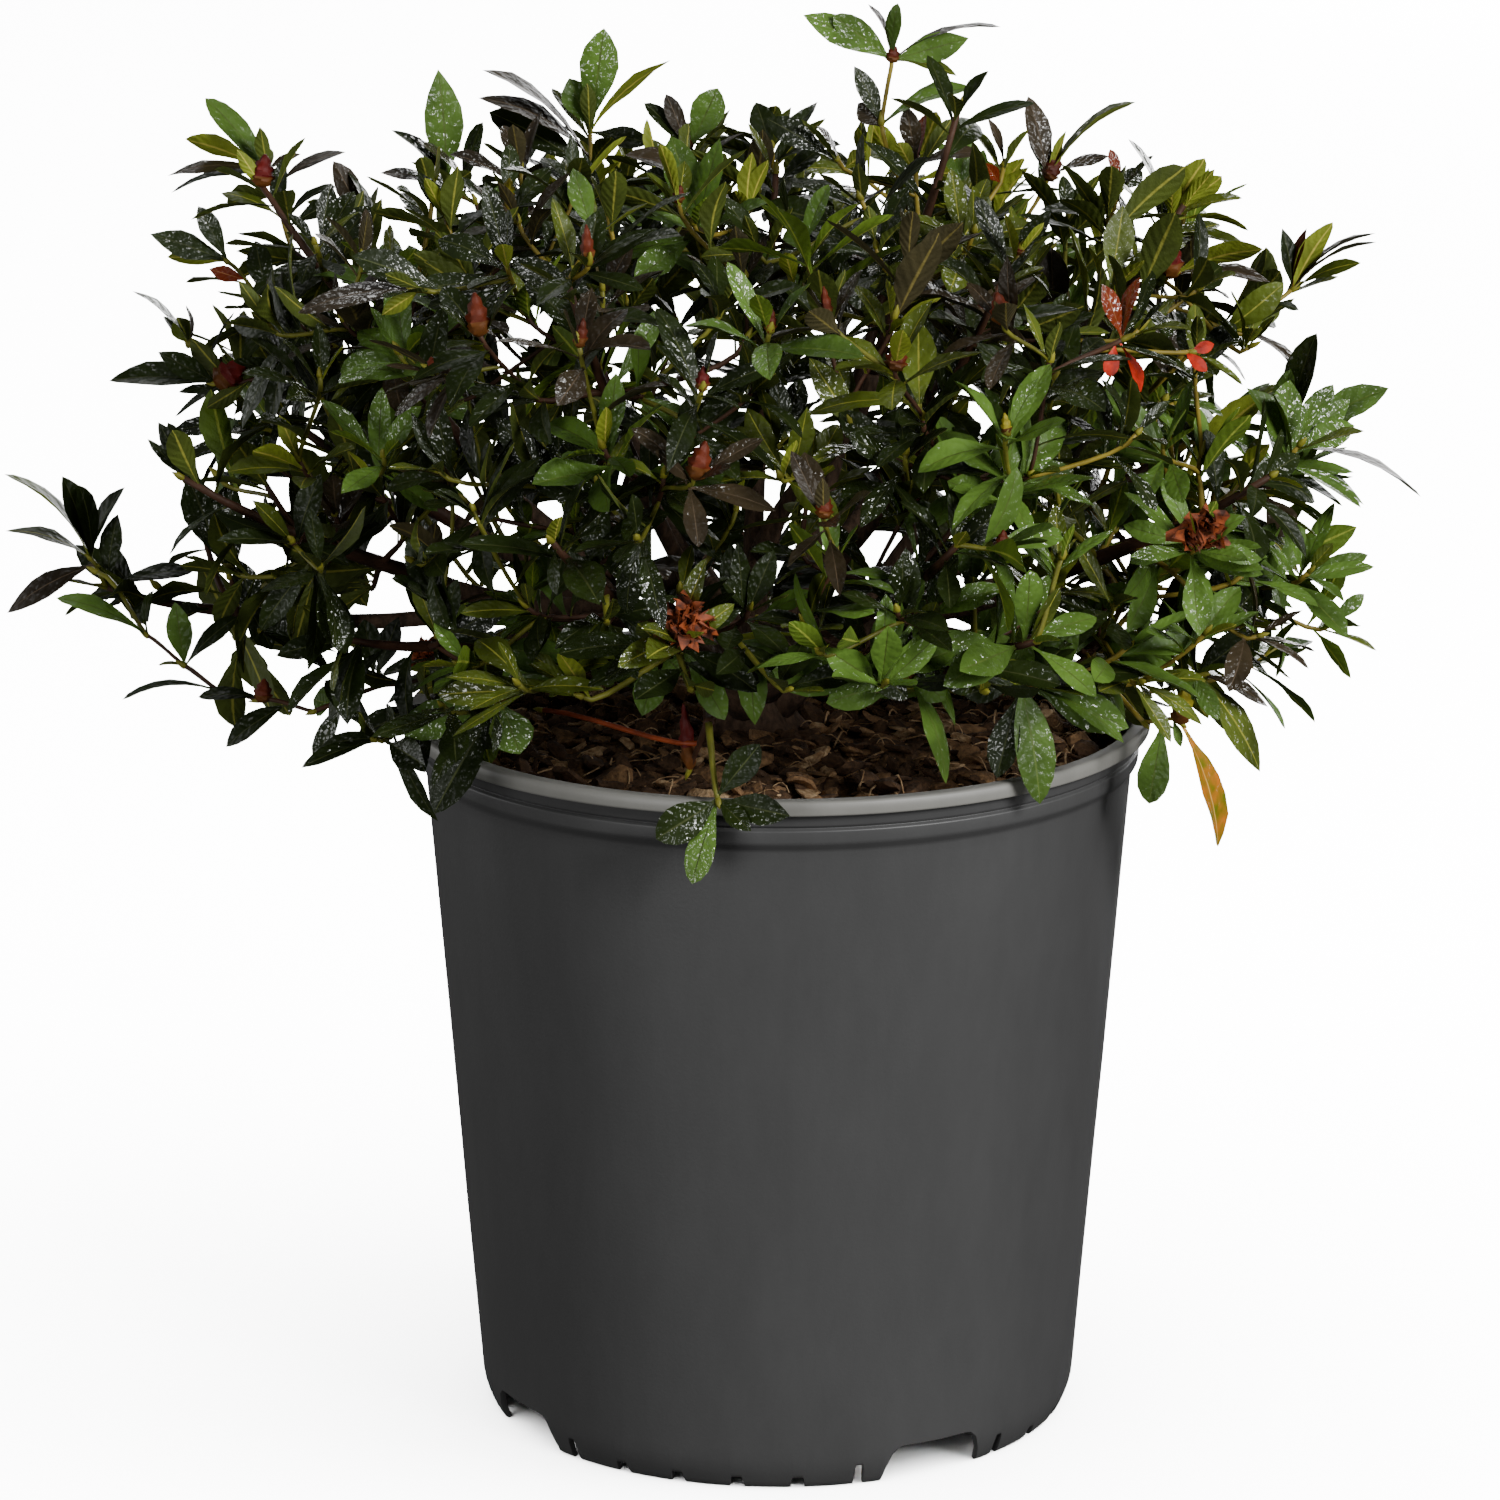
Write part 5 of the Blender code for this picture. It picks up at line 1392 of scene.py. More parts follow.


# Kinds of spray: how often each of the six is dealt out where a shoot's tip lies. The first region with
# the tip between its low and high corners counts: top, left, low right, low front, and the rest. The
# left's deal of mostly the darkest greens is painted shade, and the low right's deal of mostly brighter
# greens is painted light.

Region = namedtuple("Region", "low high shares")
REGIONS = (
    Region((-1, -1, 0.352), (1, 1, 1), (0.67, 0.09, 0.10, 0.135, 0.005, 0.0)),
    # Left: mostly the darkest greens, as painted shade on the side away from the key light.
    Region((-1, -1, 0), (-0.1, 1, 0.3), (0.88, 0.04, 0.03, 0.05, 0.0, 0.0)),
    # Low right: mostly brighter greens, as painted light where the key light falls.
    Region((0.05, -1, 0), (1, 0.04, 0.32), (0.16, 0.58, 0.22, 0.04, 0.0, 0.0)),
    Region((-1, -1, 0), (1, 0, 0.285), (0.42, 0.43, 0.12, 0.03, 0.0, 0.0)),
    Region((-1, -1, 0), (1, 1, 1), (0.68, 0.19, 0.07, 0.055, 0.005, 0.0)),
)
YOUNG_CHANCE = 0.28


def deal_kind(tip, rng):
    """A kind by chance, from the shares of the tip's region."""
    region = next(one for one in REGIONS if (tip > one.low).all() and (tip < one.high).all())
    return KINDS[rng.choice(len(KINDS), p=region.shares)]


Plant = namedtuple("Plant", "twigs carrying leaves shoot_ends")


def wanted_shoots(masses, hearts):
    """The shoots that the photo shows, and those that its buds stand on, with their mass's number."""
    names = [mass.name for mass in masses]
    wanted = []
    for seen in PHOTO_SHOOTS:
        tip = spot_of(seen)
        carrier = "foliage_" + seen.carrier.removeprefix("stem_")
        owner = names.index(carrier) if seen.carrier else nearest_heart(hearts, tip)
        ways = [spot_at_depth(leaf.tip_x, leaf.tip_y, tip[1]) - tip for leaf in seen.leaves]
        outward = unit(tip - masses[owner].foot)
        arriving = unit(outward + sum((unit(way) for way in ways), np.zeros(3)) / max(1, len(ways)))
        wanted.append((owner, Shoot(tip, arriving, seen)))
    for bud in PHOTO_BUDS:
        if bud.own:
            seen = shoot("", bud.x, bud.y, None, 0, BUD_SHOOT_LEAVES)
            tip = spot_of(seen)
            owner = nearest_heart(hearts, tip)
            arriving = unit(unit(tip - masses[owner].foot) + UP * 0.8)
            wanted.append((owner, Shoot(tip, arriving, seen)))
    return wanted


def chance_shoots(mass, room, tips, rng):
    """More shoots for a mass, spread evenly between its stem's end and the tips that are wanted."""
    stem_end = mass.foot + mass.direction * (mass.reach - LEAF_REACH)
    usual = MOST_LOW_SHOOTS if mass.name.startswith("foliage_low_") else MOST_SHOOTS
    most = MOST_ARM_SHOOTS.get(mass.name, usual)
    shoots = []
    for tip in spread_tips(chance_tips(mass, room, rng), np.array([stem_end] + tips), SHOOT_SPACING, most):
        outward = unit(tip - mass.foot)
        arriving = unit(outward * 0.45 + mass.direction * 0.2 + UP * 0.75)
        shoots.append(Shoot(tip, arriving, None))
    return shoots


@lru_cache(maxsize=1)
def grow(length, width):
    """The whole plant: its twigs, which of them carry others, its leaves by kind and its shoot ends."""
    limbs, masses = lay_out()
    hearts = np.array([heart_of(mass) for mass in masses])
    spots, _, girths = (np.array(column) for column in zip(*(s for limb in limbs for s in limb.spots())))
    wanted = wanted_shoots(masses, hearts)
    tips = [one.tip for _, one in wanted]
    blades = Blades()
    leaves = {kind: [] for kind in (*KINDS, "petal")}
    all_twigs, carrying, shoot_ends = [], [], []
    for index, mass in enumerate(masses):
        rng = np.random.default_rng(SEED + index)
        near = norm(spots - hearts[index], axis=1) < mass.reach + 2 * LEAF_REACH
        room = Room(index, hearts, spots[near], girths[near])
        shoots = [one for owner, one in wanted if owner == index]
        twigs = grow_twigs(mass, room, shoots + chance_shoots(mass, room, tips, rng))
        for row, kind in seen_leaves(twigs, blades, rng):
            leaves[kind].append(row)
        for number, twig in enumerate(twigs):
            kind = deal_kind(twig.path[-1], rng)
            last_fork = furthest_fork(twig, twigs[number + 1:])
            grown_leaves = rosette(twig, blades, room, rng, length, width)
            if twig.seen or len(grown_leaves) >= FEWEST_LEAVES:
                shoot_ends.append((twig.path[-1], unit(twig.path[-1] - twig.path[-2])))
            elif last_fork:
                twig = cut_back(twig, last_fork)
            else:
                continue
            all_twigs.append(twig)
            carrying.append(number == 0 or last_fork > 0)
            for row, age in grown_leaves:
                turns_young = age < 2 and kind in ("deep", "bright") and rng.random() < YOUNG_CHANCE
                leaves["young" if turns_young else kind].append(row)
    rows = np.array(blades.rows)
    return Plant(all_twigs, carrying, {kind: rows[found] for kind, found in leaves.items()}, shoot_ends)


def grown(context):
    """The plant with leaves of the size that is set."""
    settings = context.scene.azalea_leaves
    return grow(round(settings.length, 6), round(settings.width, 6))


# The pot

def eased(corners):
    """A profile whose corners (radius, height, ease) are rounded: each gives way to a quadratic arc
    that starts and ends its ease away from the corner."""
    points = []
    spots = np.array([corner[:2] for corner in corners])
    for i, (_, _, ease) in enumerate(corners):
        if ease == 0 or i in (0, len(corners) - 1):
            points.append(spots[i])
            continue
        before, after = unit(spots[i - 1] - spots[i]) * ease, unit(spots[i + 1] - spots[i]) * ease
        for t in np.linspace(0, 1, EASE_STEPS + 1):
            points.append(spots[i] + before * (1 - t) ** 2 + after * t * t)
    return np.array(points)


def turned(rows, turns):
    """A section turned about the pot's axis. A row's radius and height are numbers, or one for each
    azimuth: its point is the radius times the cosine and the sine of the azimuth, and the height."""
    section = np.array([np.broadcast_arrays(radius, height, turns)[:2] for radius, height in rows])
    radius, height = section[:, 0], section[:, 1]
    return np.stack([radius * np.cos(turns), radius * np.sin(turns), height], axis=-1)


def turned_faces(rows, columns):
    """Quads of a closed turned surface, whose last row and column are joined to the first."""
    k = np.arange(columns)
    n = (k + 1) % columns
    low = (np.arange(rows) * columns)[:, None]
    high = ((np.arange(rows) + 1) % rows * columns)[:, None]
    return np.stack([low + k, high + k, high + n, low + n], axis=-1).reshape(-1, 4)


def wall_radius(height):
    """The outside radius of the pot's plain wall. It tapers evenly and is drawn in at the foot."""
    top = POT_HEIGHT - COLLAR_DEPTH
    share = (height - FOOT_ROUND) / (top - FOOT_ROUND)
    plain = WALL_FOOT_RADIUS + (WALL_TOP_RADIUS - WALL_FOOT_RADIUS) * share
    drawn_in = 2.4 * MM * np.maximum(0, 1 - height / FOOT_ROUND) ** 1.7
    return plain - drawn_in


def foot_gaps():
    """Azimuth in radians, width and height of each gap in the foot."""
    gaps = []
    for quarter in range(4):
        drain_deg = DRAIN_FIRST_DEG + 90 * quarter
        gaps.append((math.radians(drain_deg), DRAIN_WIDTH, DRAIN_HEIGHT))
        for i in range(SMALL_GAPS):
            at_end = i in (0, SMALL_GAPS - 1)
            azimuth = math.radians(drain_deg + SMALL_GAP_FIRST_DEG + SMALL_GAP_PITCH_DEG * i)
            width = END_GAP_WIDTH if at_end else SMALL_GAP_WIDTH
            gaps.append((azimuth, width, END_GAP_HEIGHT if at_end else SMALL_GAP_HEIGHT))
    return gaps


def pot_turns():
    """The azimuths at which the pot has a column: evenly spaced, and closer at each gap's edges."""
    turns = [np.arange(POT_COLUMNS) * FULL_TURN / POT_COLUMNS]
    shares = np.array((-0.56, -0.5, -0.47, -0.42, -0.36, -0.3, 0, 0.3, 0.36, 0.42, 0.47, 0.5, 0.56))
    for azimuth, width, _ in foot_gaps():
        turns.append(azimuth + shares * width / WALL_FOOT_RADIUS)
    turns = np.unique(np.round(np.concatenate(turns) % FULL_TURN, 4))
    return turns[np.append(True, np.diff(turns) > 0.0015)]


def gap_edge(turns):
    """Height of the foot's lower edge at each azimuth: level at zero, and up round each gap's top,
    whose corners are eased."""
    edge = np.zeros(len(turns))
    for azimuth, width, height in foot_gaps():
        away = np.abs((turns - azimuth + math.pi) % FULL_TURN - math.pi) * WALL_FOOT_RADIUS
        rise = np.interp(away / width, (0.3, 0.36, 0.42, 0.47, 0.5), (1, 0.97, 0.8, 0.4, 0))
        edge = np.maximum(edge, height * rise)
    return edge


def lip_profile(rim, lip_width):
    """The pot's section above its plain wall: inside edge of the lip, round it, under it, down the
    collar with its groove, and in over the step to the wall."""
    top, under = POT_HEIGHT, POT_HEIGHT - LIP_DROP
    foot = POT_HEIGHT - COLLAR_DEPTH
    groove = POT_HEIGHT - GROOVE_DROP
    return eased([
        (rim - lip_width - 0.3 * MM, top - 2.5 * MM, 0),
        (rim - lip_width, top - 0.15 * MM, 0.7 * MM),
        (rim - 0.6 * MM, top, 0.9 * MM),
        (rim, top - 1.6 * MM, 1.0 * MM),
        (rim - 0.2 * MM, under, 0.7 * MM),
        (COLLAR_RADIUS + 0.3 * MM, under - 0.3 * MM, 0.5 * MM),
        (COLLAR_RADIUS - 0.2 * MM, groove + 0.7 * MM, 0.4 * MM),
        (COLLAR_RADIUS - GROOVE_DEPTH - 0.3 * MM, groove, 0.3 * MM),
        (COLLAR_RADIUS - 0.1 * MM, groove - 0.8 * MM, 0.4 * MM),
        (COLLAR_RADIUS - 0.4 * MM, foot + 2.2 * MM, 0.8 * MM),
        (wall_radius(foot) + 0.15 * MM, foot - 0.2 * MM, 0.8 * MM),
        (wall_radius(foot - 4 * MM), foot - 4 * MM, 0),
    ])


def pot_wall(rim, lip_width, unevenness, turns):
    """The wall's closed shell as a grid of rows by azimuths: lip and collar from their profile, the
    plain wall, the foot that is cut up over each gap, and back up the inside. The thin wall wavers by
    slow noise."""
    lip = lip_profile(rim, lip_width)
    plain = np.linspace(lip[-1, 1], FOOT_BAND, WALL_ROWS + 1)[1:]
    edge = gap_edge(turns)
    cut = [edge + share * (FOOT_BAND - edge) for share in (0.82, 0.62, 0.42, 0.25, 0.12, 0.04)]
    foot = wall_radius(edge)
    inside_foot = np.maximum(foot - WALL_THICKNESS, WALL_FOOT_RADIUS - WALL_THICKNESS - 2.4 * MM)
    up_inside = (*cut[::-1], *plain[::-1], lip[-1, 1], POT_HEIGHT - COLLAR_DEPTH)
    points = turned([
        *lip,
        *((wall_radius(z), z) for z in (*plain, *cut)),
        (foot - 0.5 * MM, edge + 0.05 * MM),
        (inside_foot + 0.3 * MM, edge),
        *((wall_radius(z) - WALL_THICKNESS, z) for z in up_inside),
    ], turns)
    waver = value_noise(points, 0.06, seed=3) + 0.4 * value_noise(points, 0.022, seed=4)
    height = points[..., 2]
    calm = np.clip((height - 0.012) / 0.03, 0, 1) * np.clip((POT_HEIGHT - height) / 0.02, 0.25, 1)
    ways = np.stack([np.cos(turns), np.sin(turns)], axis=-1)
    points[..., :2] += ways * (waver * calm * unevenness)[..., None]
    return points


def pot_floor(turns):
    """The floor's closed shell: a thin disc that runs into the wall and stops short of it at each
    drain gap, with the foot pad under its middle."""
    at_drain = gap_edge(turns) > 8 * MM
    inner = PAD_RADIUS + 6 * MM
    reach = np.where(at_drain, WALL_FOOT_RADIUS - 11 * MM, WALL_FOOT_RADIUS - 1.2 * MM) - inner
    top, under = FLOOR_TOP, FLOOR_UNDERSIDE
    return turned([
        (POLE_RADIUS, 0), (PAD_RADIUS * 0.6, 0), (PAD_RADIUS, 0), (PAD_RADIUS + 5 * MM, under),
        (inner + reach * 0.6, under), (inner + reach, under + 0.2 * MM),
        (inner + reach, top - 0.2 * MM), (inner + reach * 0.6, top),
        (PAD_RADIUS + 3 * MM, top), (POLE_RADIUS, 4 * MM),
    ][::-1], turns)


class AZALEA_OT_pot(bpy.types.Operator):
    """Builds the moulded pot: lip, collar, wall, toothed foot and floor"""

    bl_idname = "azalea.pot"
    bl_label = "Pot"

    def execute(self, context):
        settings = context.scene.azalea_pot
        turns = pot_turns()
        wall = pot_wall(settings.rim_radius, settings.lip_width, settings.wall_unevenness, turns)
        floor = pot_floor(turns)
        points = np.concatenate([wall.reshape(-1, 3), floor.reshape(-1, 3)])
        floor_faces = turned_faces(len(floor), len(turns)) + wall[..., 0].size
        faces = np.concatenate([turned_faces(len(wall), len(turns)), floor_faces])
        # Faces on the lip take the paler plastic: a painted highlight on the lip's top.
        lip_painted_highlight = points[faces].mean(axis=1)[:, 2] > POT_HEIGHT - LIP_DROP - 0.1 * MM
        finishes = [
            polyethylene("blow_moulded_polyethylene", settings.colour),
            polyethylene("rubbed_polyethylene", settings.lip),
        ]
        pot = add_piece("pot_moulded", points, [(faces, lip_painted_highlight.astype(int))], finishes, sharp_deg=50)
        settle(pot, ["pot"])
        return {"FINISHED"}


# The potting mix

MIX_SIDES = 132
MIX_RINGS = 44
CHIPS_REACH = 0.1035
CHIP_RINGS = 5
CHIP_SIDES = 7
FIBRES_REACH = 0.105
FIBRE_RINGS = 7
FIBRE_SIDES = 3


def mix_bed(lump):
    """The filled pot's mix as one closed plug: rings across its crumbly top, whose height is the low
    heap with lumps and two grains of noise, then down inside the wall and across the bottom."""
    turns = FULL_TURN * np.arange(MIX_SIDES) / MIX_SIDES
    ways = np.stack([np.cos(turns), np.sin(turns)], axis=-1)
    top_radius = WALL_TOP_RADIUS - WALL_THICKNESS - CLEAR
    low_radius = WALL_FOOT_RADIUS - WALL_THICKNESS - CLEAR
    shares = np.linspace(0.01, 1, MIX_RINGS)[::-1, None, None]
    flat = shares * top_radius * ways + np.array((TRUNK_X, 0)) * (1 - shares)
    x, y = flat[..., 0], flat[..., 1]
    spots = np.stack([x, y, np.zeros_like(x)], axis=-1)
    crumble = 1.3 * MM * value_noise(spots, 0.008, 7) + 0.9 * MM * value_noise(spots, 0.0036, 8)
    by_trunk = np.clip((np.hypot(x - TRUNK_X, y) - 0.015) / 0.01, 0, 1)
    by_wall = np.clip((1 - shares[..., 0]) / 0.05, 0.3, 1)
    heights = mix_height(x, y, lump) + crumble * by_trunk * by_wall - 0.6 * MM
    below = turned([
        (POLE_RADIUS, FLOOR_TOP + CLEAR), (low_radius - 2.2 * MM, FLOOR_TOP + CLEAR),
        (low_radius, FLOOR_TOP + 2.5 * MM), (top_radius, POT_HEIGHT - COLLAR_DEPTH - 4 * MM),
    ], turns)
    return np.concatenate([below, np.concatenate([flat, heights[..., None]], axis=-1)])[::-1]


def scattered(count, rng, closest):
    """Chance points over the mix, clear of the trunk and of the pot's wall."""
    radius = CHIPS_REACH * np.sqrt(rng.random(count))
    turn = rng.uniform(0, FULL_TURN, count)
    x, y = radius * np.cos(turn), radius * np.sin(turn)
    keep = np.hypot(x - TRUNK_X, y) > closest
    return x[keep], y[keep]


def bark_chips(count, rng, lump):
    """Broken bark: short flat tubes of five rings whose outline is square shouldered and uneven, tipped
    a little out of level and half sunk in the mix. Each has a few dozen faces."""
    x, y = scattered(count, rng, 0.014)
    n = len(x)
    size = rng.uniform(0.0022, 0.0058, n) * rng.choice((0.6, 1.0, 1.3), n)
    turn = rng.uniform(0, FULL_TURN, n)
    tip_up = rng.normal(0, 0.38, n)
    level = np.cos(tip_up)
    ahead = np.stack([np.cos(turn) * level, np.sin(turn) * level, np.sin(tip_up)], axis=-1)
    z = mix_height(x, y, lump) + rng.uniform(-0.2, 1.3, n) * MM
    centre = np.stack([x, y, z], axis=-1)
    along = np.linspace(-1, 1, CHIP_RINGS)
    bow = (1 - along**2) * rng.normal(0, 0.12, (n, 1))
    paths = centre[:, None] + (ahead * size[:, None])[:, None] * along[None, :, None] * 1.1
    paths[..., 2] += bow * size[:, None]
    shoulders = np.array((0.42, 0.62, 0.66, 0.6, 0.36))
    radii = size[:, None] * shoulders * rng.uniform(0.7, 1.25, (n, CHIP_RINGS))
    facing = unit(np.stack([rng.normal(0, 0.35, n), rng.normal(0, 0.35, n), np.ones(n)], axis=-1))
    flat = rng.uniform(0.22, 0.5, n)
    relief = radii[:, :, None] * rng.uniform(-0.22, 0.22, (n, CHIP_RINGS, CHIP_SIDES))
    return limb_surface(paths, radii, CHIP_SIDES, facing, flat, relief)


def loose_fibres(count, rng, lump):
    """Thin curled wood fibres that lie on the mix, as three sided tubes along arcs."""
    x, y = scattered(count, rng, 0.016)
    n = len(x)
    length = rng.uniform(0.006, 0.020, n)
    turn = rng.uniform(0, FULL_TURN, n)
    curl = rng.normal(0, 1.3, n)
    t = np.linspace(-0.5, 0.5, FIBRE_RINGS)
    bend = turn[:, None] + curl[:, None] * t
    px = x[:, None] + np.cumsum(np.cos(bend), axis=1) * length[:, None] / FIBRE_RINGS
    py = y[:, None] + np.cumsum(np.sin(bend), axis=1) * length[:, None] / FIBRE_RINGS
    inside = (np.hypot(px, py) < FIBRES_REACH).all(axis=1)
    px, py, n = px[inside], py[inside], int(inside.sum())
    arch = (1 - 4 * t**2) * rng.uniform(0.0004, 0.0035, (n, 1))
    pz = mix_height(px, py, lump) + 0.7 * MM + arch
    radii = np.full((n, FIBRE_RINGS), 0.28 * MM) * rng.uniform(0.6, 1.3, (n, 1))
    return limb_surface(np.stack([px, py, pz], axis=-1), radii, FIBRE_SIDES)


class AZALEA_OT_potting_mix(bpy.types.Operator):
    """Builds the potting mix: its crumbly bed, three colours of bark chips and loose fibres"""

    bl_idname = "azalea.potting_mix"
    bl_label = "Potting mix"

    def execute(self, context):
        settings = context.scene.azalea_mix
        dark, middle, pale = settings.dark, settings.middle, settings.pale
        bed = mix_bed(settings.lump)
        damp = bark_mix("composted_bark", shade(dark, 0.55), shade(middle, 0.8), 0.0035)
        faces = turned_faces(*bed.shape[:2])
        piece = add_piece("potting_mix_bed", bed.reshape(-1, 3), [(faces, 0)], [damp])
        settle(piece, ["potting_mix"])
        rng = np.random.default_rng(SEED)
        for name, share, low, high in (
            ("bark_chips_dark", 0.50, shade(dark, 0.6), shade(dark, 1.6)),
            ("bark_chips_brown", 0.36, shade(middle, 0.5), shade(middle, 1.2)),
            ("bark_chips_pale", 0.14, shade(middle, 1.0), shade(pale, 1.0)),
        ):
            chips = bark_chips(int(settings.chips * share), rng, settings.lump)
            finish = bark_mix("split_" + name, low, high, 0.0022)
            settle(add_limbs(name, chips, CHIP_SIDES, [finish], sharp_deg=38))
        fibres = loose_fibres(settings.fibres, rng, settings.lump)
        finish = bark_mix("shredded_wood_fibre", shade(middle, 1.1), shade(pale, 1.1), 0.003)
        settle(add_limbs("wood_fibres", fibres, FIBRE_SIDES, [finish]))
        return {"FINISHED"}


# Trunk, stems and boughs

def bark_relief(paths, sides, depth, seed):
    """Ridges that run along a limb: noise of the place round it and, more slowly, along it."""
    rings = paths.shape[1]
    run = np.concatenate([
        np.zeros((len(paths), 1)),
        np.cumsum(norm(np.diff(paths, axis=1), axis=-1), axis=1),
    ], axis=1)
    turn = FULL_TURN * np.arange(sides) / sides
    shape = (len(paths), rings, sides)
    place = np.stack([
        np.broadcast_to(np.cos(turn) * 1.6, shape),
        np.broadcast_to(np.sin(turn) * 1.6, shape),
        np.broadcast_to((run / 0.009)[:, :, None] + np.arange(len(paths))[:, None, None] * 17, shape),
    ], axis=-1)
    coarse = value_noise(place, 1.0, seed)
    fine = value_noise(place * (2.6, 2.6, 2.2), 1.0, seed + 1)
    return depth * (coarse + 0.55 * fine)


def visual_path(limb, steps):
    """The limb's own cubic, finely, begun inside its carrier so that the two join."""
    path = cubic(*limb.ends, steps)
    lead_in = limb.ends[0] - unit(limb.ends[1]) * limb.carrier_radius * 0.9
    return np.concatenate([lead_in[None], path])


TRUNK_RINGS = 26
TRUNK_SIDES = 36


class AZALEA_OT_wood(bpy.types.Operator):
    """Builds the trunk, the nine main stems and the side boughs with their bark's relief"""

    bl_idname = "azalea.wood"
    bl_label = "Trunk and boughs"

    def execute(self, context):
        settings = context.scene.azalea_wood
        material = bark("azalea_bark", settings.bark, settings.relief)
        heights = np.linspace(-3 * MM, TRUNK_HEIGHT + 2 * MM, TRUNK_RINGS)
        path = np.array([trunk_axis(height) for height in heights])[None]
        past = np.maximum(0, heights - TRUNK_HEIGHT + 4 * MM) / (7 * MM)
        radii = trunk_radius(np.clip(heights, 0, TRUNK_HEIGHT)) * np.sqrt(np.clip(1 - past**2, 0.02, 1))
        turn = FULL_TURN * np.arange(TRUNK_SIDES) / TRUNK_SIDES
        buttress = 1.6 * MM * np.cos(5 * turn + 0.8) * np.clip(1 - heights / 0.012, 0, 1)[:, None]
        relief = bark_relief(path, TRUNK_SIDES, settings.relief, 21) + buttress[None]
        trunk = limb_surface(path, radii[None], TRUNK_SIDES, np.array(((1.0, 0.0, 0.0),)), relief=relief)
        settle(add_limbs("trunk_bark", trunk, TRUNK_SIDES, [material]), ["trunk"])
        limbs, _ = lay_out()
        pieces = (("main_stems_bark", "stem_", 34, 14), ("side_boughs_bark", "bough_", 26, 12))
        for name, prefix, steps, sides in pieces:
            chosen = [limb for limb in limbs if limb.name.startswith(prefix)]
            paths = np.stack([visual_path(limb, steps) for limb in chosen])
            share = np.concatenate([[0], np.linspace(0, 1, steps + 1)])
            radii = np.stack([limb.radius_at(share) for limb in chosen]) * (1 + 0.35 * np.exp(-share * 22))
            relief = bark_relief(paths, sides, settings.relief * 0.34, 31)
            points = limb_surface(paths, radii, sides, relief=relief)
            settle(add_limbs(name, points, sides, [material]), [limb.name for limb in chosen])
        return {"FINISHED"}


# Twigs whose tips lie right of this or above this height take the golden colour: painted light on the lit
# right side and top.
PAINTED_LIGHT_FROM_X = 0.10
PAINTED_LIGHT_FROM_HEIGHT = 0.375
STEM_FROM_RADIUS = 1.5 * MM
TWIG_SIDES = 7


class AZALEA_OT_twigs(bpy.types.Operator):
    """Builds the twigs that carry on from the boughs, older red brown ones and young green ones"""

    bl_idname = "azalea.twigs"
    bl_label = "Twigs"

    def execute(self, context):
        settings = context.scene.azalea_wood
        plant = grown(context)
        carrying = np.array(plant.carrying)
        paths = np.stack([twig.path for twig in plant.twigs])
        radii = np.stack([twig.radii for twig in plant.twigs])
        red_tip = spot_of(next(seen for seen in PHOTO_SHOOTS if (seen.x, seen.y) == RED_TWIG_PIXEL))
        is_red = norm(paths[:, -1] - red_tip, axis=1) < MM
        # Painted light: twigs on the lit right and on top take the golden skin.
        in_painted_light = (paths[:, -1, 0] > PAINTED_LIGHT_FROM_X) | (paths[:, -1, 2] > PAINTED_LIGHT_FROM_HEIGHT)
        brown = young_wood("dark_brown_twig_bark", settings.brown_twig, 0.6)
        red = young_wood("red_twig_bark", settings.red_twig, 0.5)
        green = young_wood("green_shoot_skin", settings.green_twig, 0.45)
        golden = young_wood("golden_shoot_skin", settings.sunlit_twig_painted_light, 0.45)
        old_wood = carrying & ((radii[:, 0] > STEM_FROM_RADIUS) | ~in_painted_light) | is_red
        for name, chosen, finishes, second in (
            ("twigs_brown", old_wood, [brown, red], is_red),
            ("twigs_green", ~old_wood, [green, golden], in_painted_light),
        ):
            relief = bark_relief(paths[chosen], TWIG_SIDES, 0.16 * MM, 41)
            points = limb_surface(paths[chosen], radii[chosen], TWIG_SIDES, relief=relief)
            settle(add_limbs(name, points, TWIG_SIDES, finishes, second[chosen].astype(int)))
        return {"FINISHED"}


# Leaves

LEAF_THICKNESS = 0.45 * MM
MOST_LEAVES_A_PIECE = 1700
TIER_NAMES = ("", "_upper", "_top")

# Each kind's underside, midrib above, midrib below, and the green of a fading leaf's patches

LEAF_COLOURS = {
    "deep": ("#444f17", "#363d18", "#8b8a35", None),
    "bright": ("#566d1e", "#46581c", "#96a23c", None),
    "young": ("#7a8526", "#8b8b30", "#b9b04a", None),
    "bronze": ("#403a22", "#4a3d2c", "#726634", None),
    "russet": ("#7c3c1c", "#83522a", "#a8652c", None),
    "fading": ("#a0621c", "#cda04e", "#cda04e", "#7c8420"),
}


class AZALEA_OT_leaves(bpy.types.Operator):
    """Builds the leaves, one piece for each kind and tier, in place of every mass of foliage"""

    bl_idname = "azalea.leaves"
    bl_label = "Leaves"

    def execute(self, context):
        settings = context.scene.azalea_leaves
        plant = grown(context)
        _, masses = lay_out()
        for kind in KINDS:
            blades = plant.leaves[kind]
            if not len(blades):
                continue
            below, midrib, rib_below, patches = (colour and linear(colour) for colour in LEAF_COLOURS[kind])
            materials = [
                leaf_face(f"waxy_leaf_{kind}", getattr(settings, kind), patches),
                leaf_back(f"leaf_midrib_{kind}", midrib),
                leaf_back(f"leaf_underside_{kind}", below, rib_below, patches),
            ]
            from_below = blades[np.argsort(blades[:, 2])]
            tiers = np.array_split(from_below, 1 + len(blades) // MOST_LEAVES_A_PIECE)
            for tier, name in zip(tiers, TIER_NAMES):
                piece = add_blades(f"leaves_{kind}{name}", tier, materials, LEAF_THICKNESS)
                settle(piece, [mass.name for mass in masses])
        return {"FINISHED"}


# Buds, blooms and petals

PETAL_WIDEST = 0.66
PETAL_BLUNT = 0.5
PETALS = 32
LOOSE_PETAL_CHANCE = 0.2
BLOOM_SHARE = 0.72
BUD_KINDS = ("red", "orange", "yellow")
BUD_SHARE = 0.46
BUD_SCALES = 0.48
TIP_SCALES = 0.3
BUD_RINGS = 17
BUD_SIDES = 12
TIP_RINGS = 6
TIP_SIDES = 6
FOOT_RINGS = 6


